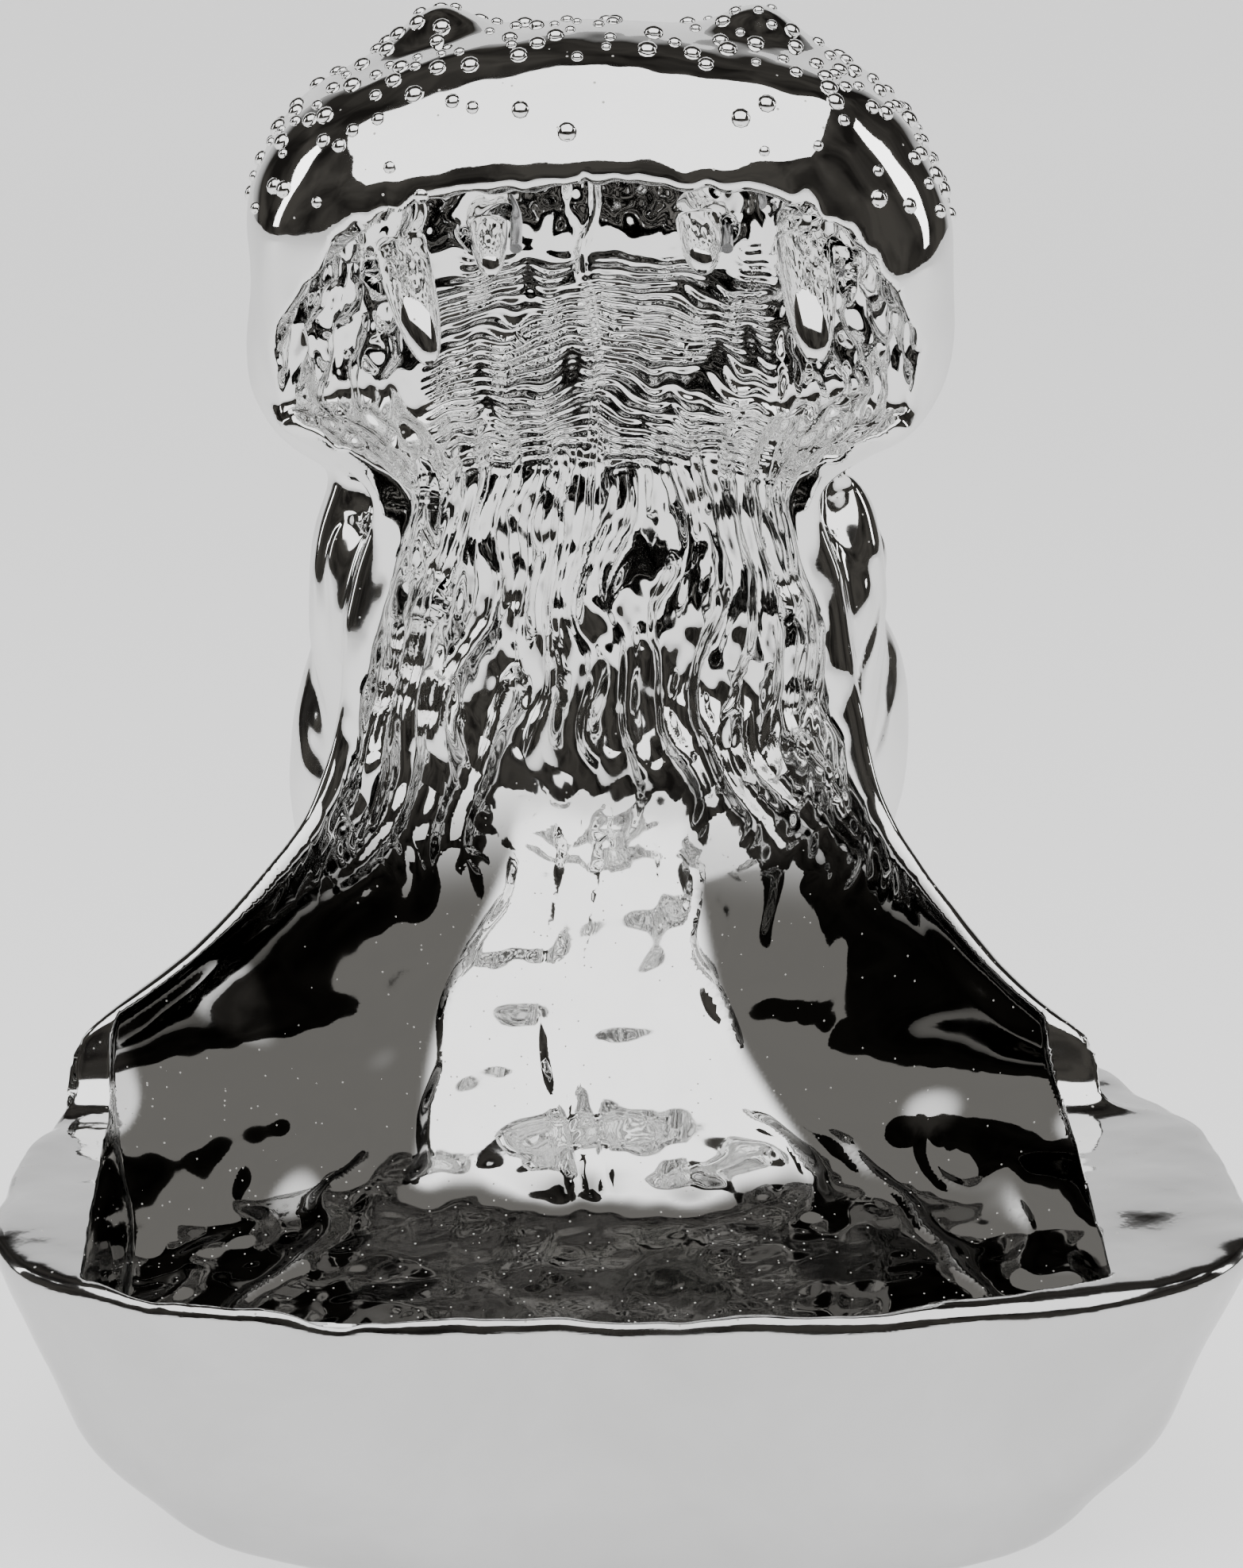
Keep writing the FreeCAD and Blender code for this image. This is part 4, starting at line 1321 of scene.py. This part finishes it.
# ---- teeth, eyes and ears ----------------------------------------------------------------
@dataclass
class Tooth:
    """A blunt tooth that stands in a gum."""

    name: str
    node: str
    root: tuple[float, float, float]
    tip: tuple[float, float, float]
    radius: float
    bow: float                     # how far its middle bends forwards
    gum_radius: float
    sides: int = 28
    rows: int = 18

    def axis(self) -> tuple[np.ndarray, np.ndarray, np.ndarray]:
        """Start, end and direction of the tooth."""
        start, end = np.array(self.root), np.array(self.tip)
        return start, end, unit(end - start)

    def gum(self, whole: np.ndarray, x: np.ndarray, y: np.ndarray,
            z: np.ndarray) -> np.ndarray:
        """Adds the gum's collar round the tooth to the skin's field.

        Args:
            whole: the skin's field so far.
            x, y, z: places in the sculptor's axes.

        Returns:
            The field with the gum.
        """
        start, _, way = self.axis()
        p = np.stack([x, y, z], axis=1) - start
        along = p @ way
        across = np.sqrt(np.maximum((p ** 2).sum(axis=1) - along ** 2, 0.0))
        ring = np.sqrt((across - self.gum_radius) ** 2 + (along - 1.5) ** 2 + 1e-6) - 2.6
        return join(whole, ring, 4.5)

    def build(self, material: bpy.types.Material) -> bpy.types.Object:
        """Lofts the tooth, with shallow flutes along it.

        Args:
            material: its finish.

        Returns:
            The piece.
        """
        start, end, way = self.axis()
        side = unit(np.cross(way, (0.0, -1.0, 0.2)))
        front = np.cross(side, way)
        length = np.linalg.norm(end - start)
        turns = np.linspace(0.0, 2.0 * math.pi, self.sides, endpoint=False)
        rings = []
        for row in range(self.rows):
            t = row / (self.rows - 0.4)
            radius = self.radius * (1.0 - 0.30 * t ** 1.6) * (1.0 - t ** 5) ** 0.5
            flute = 1.0 - 0.05 * np.cos(3.0 * turns + 0.6) * (1.0 - t)
            middle = start + way * ((t * 1.14 - 0.14) * length) \
                + front * (self.bow * math.sin(math.pi * t))
            rings.append(middle + radius * flute[:, None]
                         * (np.cos(turns)[:, None] * side
                            + 0.86 * np.sin(turns)[:, None] * front))
        pole = start + way * length
        points, faces = loft(rings, start - way * 0.15 * length, pole)
        if np.dot(np.cross(side, front), way) < 0.0:
            faces = [face[::-1] for face in faces]
        item = make_object(self.name, points, faces, material)
        register(item, "plating", self.node)
        return item


@dataclass
class Eye:
    """An eyeball with a raised iris, between two thick lids."""

    name: str
    node: str
    centre: np.ndarray
    outward: np.ndarray
    radius: float = 10.0

    def axes(self) -> tuple[np.ndarray, np.ndarray]:
        """Directions along and across the slit of the lids."""
        along = unit(np.cross((0.0, 0.0, 1.0), self.outward))
        return along, np.cross(self.outward, along)

    def lids(self, outer: np.ndarray, x: np.ndarray, y: np.ndarray,
             z: np.ndarray) -> np.ndarray:
        """Adds the lids to the field of the outside.

        Args:
            outer: the field of the outside so far.
            x, y, z: places in the sculptor's axes.

        Returns:
            The field with the lids.
        """
        p = np.stack([x, y, z], axis=1) - self.centre
        along, across = self.axes()
        a, b, c = p @ along, p @ across, p @ self.outward
        swell = blob(a, b, c - 1.0, (17.0, 13.0, 12.0))
        slit = blob(a, b - 0.06 * a, c - 11.0, (11.5, 6.2, 9.0), 2.3)
        rim = blob(a, b, c - 1.0, (19.5, 15.5, 13.5))
        outer = join(outer, swell, 7.0) + 0.9 * bell(rim, 1.6)
        return trim(outer, -slit, 3.0)

    def build(self, material: bpy.types.Material) -> bpy.types.Object:
        """Turns the eyeball on its axis.

        Args:
            material: its finish.

        Returns:
            The piece.
        """
        along, across = self.axes()
        turns = np.linspace(0.0, 2.0 * math.pi, 40, endpoint=False)
        rings = []
        for angle in np.linspace(2.9, 0.10, 30):
            lift = 0.45 * math.exp(-((angle - 0.42) / 0.10) ** 2) \
                - 0.7 * math.exp(-(angle / 0.20) ** 2)
            radius = self.radius + lift
            rings.append(self.centre + self.outward * radius * math.cos(angle)
                         + radius * math.sin(angle) * (np.cos(turns)[:, None] * along
                                                       + np.sin(turns)[:, None] * across))
        back = self.centre - self.outward * self.radius
        pole = self.centre + self.outward * (self.radius - 0.7)
        points, faces = loft(rings, back, pole)
        item = make_object(self.name, points, faces, material)
        register(item, "plating", self.node)
        return item


@dataclass
class Ear:
    """A small round ear, hollow in front, with a folded rim."""

    name: str
    node: str
    foot: np.ndarray
    direction: np.ndarray
    facing: np.ndarray
    width: float = 28.0
    length: float = 35.0
    thickness: float = 12.0
    sides: int = 48
    rows: int = 26

    def build(self, material: bpy.types.Material) -> bpy.types.Object:
        """Lofts the ear from its foot to its tip.

        Args:
            material: its finish.

        Returns:
            The piece.
        """
        up = unit(self.direction)
        front = unit(self.facing - up * np.dot(self.facing, up))
        across = np.cross(front, up)
        turns = np.linspace(0.0, 2.0 * math.pi, self.sides, endpoint=False)
        rings = []
        for row in range(self.rows):
            t = row / (self.rows - 0.5)
            shape = (1.0 - abs(2.0 * max(t - 0.5, 0.0)) ** 2.6) ** 0.5
            half = 0.5 * self.width * (0.50 + 0.50 * math.sin(min(t / 0.6, 1.0)
                                                              * math.pi / 2)) * shape
            deep = 0.5 * self.thickness * (1.0 - 0.45 * t) * max(shape, 0.25)
            side, face = np.cos(turns), np.sin(turns)
            hollow = np.where(face > 0.0, face ** 2, 0.0) * (1.0 - side ** 2) ** 0.5
            cup = 1.15 * deep * math.sin(math.pi * min(max((t - 0.12) / 0.82, 0.0), 1.0))
            bend = -0.18 * self.length * t * t
            rings.append(self.foot + up * self.length * t + front * bend
                         + across * (half * side)[:, None]
                         + front * (deep * face - cup * 1.35 * hollow
                                    - 0.16 * half * side ** 2)[:, None])
        end = rings[-1].mean(axis=0) + up * 0.3
        points, faces = loft(rings, rings[0].mean(axis=0), end)
        if np.dot(np.cross(across, front), up) < 0.0:
            faces = [face[::-1] for face in faces]
        item = make_object(self.name, points, faces, material)
        register(item, "plating", self.node)
        return item


# ---- assemblies --------------------------------------------------------------------------
@dataclass
class PlatedSkin:
    """The continuous plated skin, divided into the head's castings."""

    head: Head
    modelled: ModelledHead
    finishes: Finishes
    pitch: float = 2.0
    low: tuple[float, float, float] = (-158.0, -172.0, -4.0)
    high: tuple[float, float, float] = (158.0, 154.0, 366.0)
    lip_depth: float = 1.5         # how far a casting's edge turns in at a join
    pieces: dict[SkinPart, bpy.types.Object] = field(default_factory=dict)

    def build(self) -> None:
        """Makes the skin, refines it where its relief is fine, and divides it."""
        low = np.array(self.low)
        values = sample(self.head.body, low, np.array(self.high), self.pitch)
        coarse = net(values, low, self.pitch)
        coarse = Skin(settle(self.head.body, coarse.points, 3), coarse.quads)
        LOG.info("smooth skin: %d faces", len(coarse.quads))
        fine = coarse
        fine, _ = split_quads(coarse, np.ones(len(coarse.quads), bool))
        fine = Skin(settle(self.modelled.body, fine.points, 3), fine.quads)
        owner = self.modelled.nodes(fine.centres())
        detailed = self._detailed(fine) & (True)
        points, quads = fine.points, fine.quads[~detailed]
        owners = owner[~detailed]
        if detailed.any():
            patch, border = split_quads(fine, detailed)
            free = ~border
            patch.points[free] = settle(self.modelled.body, patch.points[free], 3)
            quads = np.concatenate([quads, patch.quads + len(points)])
            owners = np.concatenate([owners, np.tile(owner[detailed], 4)])
            points = np.concatenate([points, patch.points])
        normals = self._normals(points)
        left = points[quads][:, :, 0].mean(axis=1) < 0.0
        for part in SkinPart:
            owned = owners == part.value
            if part in HALVED:
                self._piece(part, "_left", points, quads[owned & left], normals)
                self._piece(part, "_right", points, quads[owned & ~left], normals)
            else:
                self._piece(part, "", points, quads[owned], normals)

    def _detailed(self, skin: Skin) -> np.ndarray:
        """Which faces need a finer mesh: the palate, the pouches and the throat.

        Args:
            skin: the 1 mm mesh.

        Returns:
            A flag for each face.
        """
        middle = skin.centres()
        x, y, z = middle.T
        hx = self.head.straight(x, z)
        inside = np.abs(self.head.mouth(hx, y, z)) < 3.5
        return inside & (z > 150.0) & (np.abs(hx) < 84.0)

    def _normals(self, points: np.ndarray) -> np.ndarray:
        """Exact normals of the skin, from the slope of its field."""
        slope = in_batches(lambda part: slope_of(self.modelled.body, part), points)
        return slope / np.maximum(np.linalg.norm(slope, axis=1), 1e-9)[:, None]

    def _piece(self, part: SkinPart, side: str, points: np.ndarray, quads: np.ndarray,
               normals: np.ndarray) -> None:
        """Makes one casting's piece, with its edges turned in at the joins.

        Args:
            part: the casting.
            side: what its name ends with, where it is made in two halves.
            points: the whole skin's points.
            quads: this piece's faces.
            normals: the whole skin's normals.
        """
        used, local = np.unique(quads, return_inverse=True)
        quads = local.reshape(quads.shape)
        own, out = points[used], normals[used]
        sides = np.stack([quads, np.roll(quads, -1, axis=1)], axis=2).reshape(-1, 2)
        keys = np.sort(sides, axis=1)
        _, index, uses = np.unique(keys, axis=0, return_inverse=True, return_counts=True)
        edge = sides[uses[index.ravel()] == 1]
        rim, places = np.unique(edge, return_inverse=True)
        places = places.reshape(edge.shape) + len(own)
        inner = own[rim] - self.lip_depth * out[rim]
        turned = np.stack([edge[:, 1], edge[:, 0], places[:, 0], places[:, 1]], axis=1)
        name, node = SKIN_NAMES[part]
        # the hull of the bowl gets the plating darkened as painted shade; the lining, tongue
        # and mouth get the plating with painted shade in the recesses
        material = {SkinPart.JAW: self.finishes.bowl,
                    SkinPart.LINING: self.finishes.lining,
                    SkinPart.TONGUE: self.finishes.lining,
                    SkinPart.LINER: self.finishes.lining}.get(part, self.finishes.plating)
        item = make_object(name + side, np.concatenate([own, inner]),
                           np.concatenate([quads, turned]), material,
                           np.concatenate([out, out[rim]]))
        # painted shade for the recesses, kept as a per-point attribute that the lining's
        # material reads
        shade_level = in_batches(self.modelled.painted_shade, np.concatenate([own, inner]))
        layer = item.data.attributes.new("painted_shade", "FLOAT", "POINT")
        layer.data.foreach_set("value", shade_level.astype(np.float32))
        register(item, "plating", node.value)
        self.pieces[part] = item


@dataclass
class WhiskerBumps:
    """Bumps on the skin of the muzzle, scattered by a Geometry Nodes tree."""

    host: bpy.types.Object
    head: Head
    material: bpy.types.Material
    spacing: float = 0.0045
    density: float = 60000.0
    smallest: float = 0.0013
    largest: float = 0.0026
    seed: int = 7

    def weights(self) -> np.ndarray:
        """How thickly the bumps stand at each point of the muzzle.

        Returns:
            A share of the full density, from 0 to 1.
        """
        mesh = self.host.data
        flat = np.empty(len(mesh.vertices) * 3, np.float32)
        mesh.vertices.foreach_get("co", flat)
        x, y, z = from_frame(flat.reshape(-1, 3)).T
        x = self.head.straight(x, z)
        s, u = self.head.along_jaw(y, z)
        turn = np.degrees(np.arctan2(u - self.head.MUZZLE_ABOVE,
                                     s - self.head.MUZZLE_ALONG))
        side = step(50, 72, np.abs(x))
        top = step(-26, -4, turn) * step(170, 120, turn)
        front = 0.34 * step(-50, -34, turn) * step(60, 20, turn)
        flank = side * step(-60, -30, turn) * step(14, 40, s) * step(176, 140, turn)
        return np.clip(np.maximum(np.maximum(0.85 * top, 0.8 * flank), front), 0.0, 1.0)

    def tree(self) -> bpy.types.NodeTree:
        """Builds the tree: scattered points, a bump on each, made real.

        Returns:
            The tree.
        """
        tree = new_tree("Whisker bumps", "GeometryNodeTree")
        face = tree.interface
        face.new_socket("Geometry", in_out="INPUT", socket_type="NodeSocketGeometry")
        for name, kind in (("Spacing", "Float"), ("Density", "Float"),
                           ("Smallest", "Float"), ("Largest", "Float"), ("Seed", "Int"),
                           ("Material", "Material")):
            face.new_socket(name, in_out="INPUT", socket_type="NodeSocket" + kind)
        face.new_socket("Geometry", in_out="OUTPUT", socket_type="NodeSocketGeometry")
        source, result = add(tree, "NodeGroupInput"), add(tree, "NodeGroupOutput")
        weight = add(tree, "GeometryNodeInputNamedAttribute", data_type="FLOAT", Name="bumps")
        scatter = add(tree, "GeometryNodeDistributePointsOnFaces",
                      distribute_method="POISSON")
        shape = add(tree, "GeometryNodeMeshIcoSphere", Radius=1.0, Subdivisions=2)
        flatten = add(tree, "GeometryNodeTransform", Scale=(1.0, 1.0, 0.72))
        smooth = add(tree, "GeometryNodeSetShadeSmooth")
        sizes = add(tree, "FunctionNodeRandomValue", data_type="FLOAT")
        place = add(tree, "GeometryNodeInstanceOnPoints")
        real = add(tree, "GeometryNodeRealizeInstances")
        dress = add(tree, "GeometryNodeSetMaterial")
        links = (
            (source.outputs["Geometry"], scatter.inputs["Mesh"]),
            (source.outputs["Spacing"], scatter.inputs["Distance Min"]),
            (source.outputs["Density"], scatter.inputs["Density Max"]),
            (source.outputs["Seed"], scatter.inputs["Seed"]),
            (weight.outputs[0], scatter.inputs["Density Factor"]),
            (shape.outputs["Mesh"], flatten.inputs["Geometry"]),
            (flatten.outputs[0], smooth.inputs["Geometry"]),
            (scatter.outputs["Points"], place.inputs["Points"]),
            (scatter.outputs["Rotation"], place.inputs["Rotation"]),
            (smooth.outputs[0], place.inputs["Instance"]),
            (source.outputs["Smallest"], sizes.inputs[2]),
            (source.outputs["Largest"], sizes.inputs[3]),
            (source.outputs["Seed"], sizes.inputs["Seed"]),
            (sizes.outputs[1], place.inputs["Scale"]),
            (place.outputs[0], real.inputs[0]),
            (real.outputs[0], dress.inputs["Geometry"]),
            (source.outputs["Material"], dress.inputs["Material"]),
            (dress.outputs[0], result.inputs["Geometry"]))
        for start, end in links:
            tree.links.new(start, end)
        return tree

    def build(self) -> bpy.types.Object:
        """Scatters the bumps and turns them into a plain mesh.

        Returns:
            The piece.
        """
        mesh = self.host.data.copy()
        mesh.name = "whisker_bumps"
        item = bpy.data.objects.new("whisker_bumps", mesh)
        bpy.context.scene.collection.objects.link(item)
        layer = mesh.attributes.new("bumps", "FLOAT", "POINT")
        layer.data.foreach_set("value", self.weights().astype(np.float32))
        modifier = item.modifiers.new("bumps", "NODES")
        modifier.node_group = self.tree()
        values = {"Spacing": self.spacing, "Density": self.density,
                  "Smallest": self.smallest, "Largest": self.largest, "Seed": self.seed,
                  "Material": self.material}
        for socket in modifier.node_group.interface.items_tree:
            if socket.in_out == "INPUT" and socket.name in values:
                modifier[socket.identifier] = values[socket.name]
        view = item.evaluated_get(bpy.context.evaluated_depsgraph_get())
        plain = bpy.data.meshes.new_from_object(view)
        item.modifiers.clear()
        item.data = plain
        plain.name = "whisker_bumps"
        register(item, "plating")
        return item


class Fittings:
    """The steel pins and screws, the base plate and the feet, with their own meshes."""

    def __init__(self, finishes: Finishes) -> None:
        """Keeps which finish each node gets.

        Args:
            finishes: the finishes to choose from.
        """
        self.finish_of = {"tooth_pins": finishes.steel, "ear_pins": finishes.steel,
                          "base_screws": finishes.steel, "base_plate": finishes.board,
                          "rubber_feet": finishes.rubber}

    def dress(self) -> None:
        """Gives the nodes their finishes."""
        for name, material in self.finish_of.items():
            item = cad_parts[name]
            for slot in item.material_slots:
                slot.material = material
            LOG.info("%s: %s", name, material.name)


@dataclass
class Studio:
    """Floor, backdrop, lights and camera."""

    elevation: float = math.radians(15.0)
    distance: float = 1.4
    aim_height: float = 0.160
    lens: float = 127.8
    floor_reach: float = 3.0
    pale: tuple[float, float, float] = (0.80, 0.80, 0.80)

    def floor(self) -> None:
        """A pale floor that rises into a backdrop far behind."""
        profile = [(-self.floor_reach, 0.0), (2.2, 0.0)]
        profile += [(2.2 + 0.9 * math.sin(a), 0.9 - 0.9 * math.cos(a))
                    for a in np.linspace(0.08, math.pi / 2, 14)]
        profile.append((3.1, 2.6))
        points, faces = [], []
        for side in (-1.0, 1.0):
            points += [(side * (self.floor_reach if y < 2.3 else 1.6), y, z)
                       for y, z in profile]
        n = len(profile)
        faces = [(k, k + n, k + n + 1, k + 1) for k in range(n - 1)]
        mesh = bpy.data.meshes.new("studio_floor")
        mesh.from_pydata(points, [], faces)
        mesh.shade_smooth()
        material = bpy.data.materials.new("Studio paper")
        material.use_nodes = True
        shader = material.node_tree.nodes["Principled BSDF"]
        shader.inputs["Base Color"].default_value = (*self.pale, 1.0)
        shader.inputs["Roughness"].default_value = 0.9
        shader.inputs["Emission Color"].default_value = (1.0, 1.0, 1.0, 1.0)
        path = material.node_tree.nodes.new("ShaderNodeLightPath")
        glow = add(material.node_tree, "ShaderNodeMapRange", To_Min=0.72, To_Max=1.0)
        material.node_tree.links.new(path.outputs["Is Camera Ray"], glow.inputs["Value"])
        material.node_tree.links.new(glow.outputs[0], shader.inputs["Emission Strength"])
        mesh.materials.append(material)
        item = bpy.data.objects.new("studio_floor", mesh)
        bpy.context.scene.collection.objects.link(item)

    def light(self, name: str, azimuth: float, elevation: float, reach: float,
              size: tuple[float, float], power: float) -> None:
        """Adds a soft box that faces the head.

        Args:
            name: its name.
            azimuth: degrees to the right of the camera.
            elevation: degrees above the floor.
            reach: distance from the head.
            size: width and height.
            power: watts.
        """
        lamp = bpy.data.lights.new(name, "AREA")
        lamp.shape = "RECTANGLE"
        lamp.size, lamp.size_y = size
        lamp.energy = power
        item = bpy.data.objects.new(name, lamp)
        a, e = math.radians(azimuth), math.radians(elevation)
        way = np.array([math.sin(a) * math.cos(e), -math.cos(a) * math.cos(e), math.sin(e)])
        item.location = way * reach + np.array([0.0, 0.0, 0.16])
        item.rotation_euler = (math.pi / 2 - e, 0.0, a)
        bpy.context.scene.collection.objects.link(item)

    def world(self) -> None:
        """A room that is dark in front and pale behind, where only mirrors see it."""
        world = bpy.data.worlds.new("studio")
        bpy.context.scene.world = world
        world.use_nodes = True
        tree = world.node_tree
        tree.nodes.clear()
        out = tree.nodes.new("ShaderNodeOutputWorld")
        back = tree.nodes.new("ShaderNodeBackground")
        place = tree.nodes.new("ShaderNodeTexCoord")
        axes = tree.nodes.new("ShaderNodeSeparateXYZ")
        tree.links.new(place.outputs["Generated"], axes.inputs[0])
        behind = add(tree, "ShaderNodeMapRange", From_Min=0.72, From_Max=0.90)
        tree.links.new(axes.outputs["Y"], behind.inputs["Value"])
        room = add(tree, "ShaderNodeTexNoise", Scale=2.6, Detail=3.0)
        tree.links.new(place.outputs["Generated"], room.inputs["Vector"])
        ramp = tree.nodes.new("ShaderNodeValToRGB")
        ramp.color_ramp.elements[0].position = 0.36
        ramp.color_ramp.elements[0].color = (0.012, 0.011, 0.010, 1.0)
        ramp.color_ramp.elements[1].position = 0.62
        ramp.color_ramp.elements[1].color = (0.060, 0.056, 0.050, 1.0)
        tree.links.new(room.outputs["Fac"], ramp.inputs[0])
        mix = add(tree, "ShaderNodeMix", data_type="RGBA")
        tree.links.new(behind.outputs[0], mix.inputs[0])
        tree.links.new(ramp.outputs[0], mix.inputs[6])
        mix.inputs[7].default_value = (0.85, 0.85, 0.85, 1.0)
        seen = add(tree, "ShaderNodeMix", data_type="RGBA")
        path = tree.nodes.new("ShaderNodeLightPath")
        tree.links.new(path.outputs["Is Camera Ray"], seen.inputs[0])
        tree.links.new(mix.outputs[2], seen.inputs[6])
        seen.inputs[7].default_value = (1.0, 1.0, 1.0, 1.0)
        tree.links.new(seen.outputs[2], back.inputs["Color"])
        tree.links.new(back.outputs[0], out.inputs[0])

    def camera(self) -> None:
        """The camera, level with the aim and a little above it."""
        data = bpy.data.cameras.new("camera")
        data.sensor_fit = "VERTICAL"
        data.sensor_height = 36.0
        data.sensor_width = 36.0
        data.lens = self.lens
        item = bpy.data.objects.new("camera", data)
        aim = to_frame(np.array([0.0, 0.0, self.aim_height / MM]))
        item.location = aim + self.distance * np.array([0.0, -math.cos(self.elevation),
                                                        math.sin(self.elevation)])
        item.rotation_euler = (math.pi / 2 - self.elevation, 0.0, 0.0)
        bpy.context.scene.collection.objects.link(item)
        bpy.context.scene.camera = item

    def build(self) -> None:
        """Sets up everything round the head."""
        self.floor()
        self.world()
        self.light("soft_box_top", 0.0, 64.0, 1.20, (2.3, 1.55), 26.0)
        self.light("soft_box_left", -100.0, 20.0, 2.0, (0.3, 1.2), 5.0)
        self.light("soft_box_right", 100.0, 20.0, 2.0, (0.3, 1.2), 5.0)
        self.camera()


def measured_teeth(head: Head) -> list[Tooth]:
    """The four upper teeth, each from its gum to its tip.

    Args:
        head: the form whose gums they stand in.

    Returns:
        The teeth, canines first.
    """
    rows = (("canine_left", "upper_canine_left", -54.0, 292.0, (7.5, -19.0, -23.0), 6.8,
             2.5, 7.8),
            ("canine_right", "upper_canine_right", 45.0, 294.0, (2.5, -19.0, -24.0), 7.4,
             1.5, 8.4),
            ("incisor_left", "upper_incisor_left", -33.0, 299.0, (1.0, -9.0, -10.5), 4.8,
             0.6, 5.6),
            ("incisor_right", "upper_incisor_right", 19.0, 300.0, (1.5, -9.0, -10.5), 5.8,
             0.4, 6.8))
    teeth = []
    places = np.linspace(-30.0, 50.0, 321)
    for name, node, x, z, reach, radius, bow, gum in rows:
        along = head.body(np.full_like(places, x), places, np.full_like(places, z))
        open_run = np.flatnonzero(along > 0.5)
        first = open_run[0]
        closed = np.flatnonzero(along[first:] < 0.0)
        root = np.array([x, places[first + closed[0]] - 4.5, z])
        LOG.info("%s stands at %s", name, np.round(root, 1))
        tip = root + np.array(reach)
        teeth.append(Tooth(name, node, tuple(root), tuple(tip), radius, bow, gum))
    return teeth


def measured_eyes() -> list[Eye]:
    """The two eyes, where the frame has them.

    Returns:
        The eyes, left and right.
    """
    eyes = []
    for side in ("left", "right"):
        low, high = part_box(f"eye_{side}")
        centre = from_frame((np.array(low) + np.array(high)) / 2.0)
        away = unit((centre[0], centre[1] - 62.0, 6.0))
        eyes.append(Eye(f"eyeball_{side}", f"eye_{side}", centre, away))
    return eyes


def measured_ears() -> list[Ear]:
    """The two ears, standing where the frame has them.

    Returns:
        The ears, left and right.
    """
    ears = []
    for side, sign in (("left", -1.0), ("right", 1.0)):
        low, high = (from_frame(np.array(v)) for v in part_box(f"ear_{side}"))
        middle = (low + high) / 2.0
        way = unit((0.62 * sign, 0.42, 0.66))
        foot = middle - way * 17.0
        ears.append(Ear(f"ear_shell_{side}", f"ear_{side}", foot, way,
                        unit((0.45 * sign, -0.89, 0.14))))
    return ears


def main() -> None:
    """Builds the head, piece by piece, and the studio round it."""
    logging.basicConfig(level=logging.INFO, format="%(relativeCreated)d %(message)s")
    finishes = Finishes()
    head = Head()
    Studio().build()
    teeth = measured_teeth(head)
    eyes = measured_eyes()
    skin = PlatedSkin(head, ModelledHead(head, teeth, eyes), finishes)
    skin.build()
    WhiskerBumps(skin.pieces[SkinPart.MUZZLE], head, finishes.plating).build()
    for part in (*teeth, *eyes, *measured_ears()):
        part.build(finishes.plating)
    Fittings(finishes).dress()


if __name__ == "__main__":
    main()
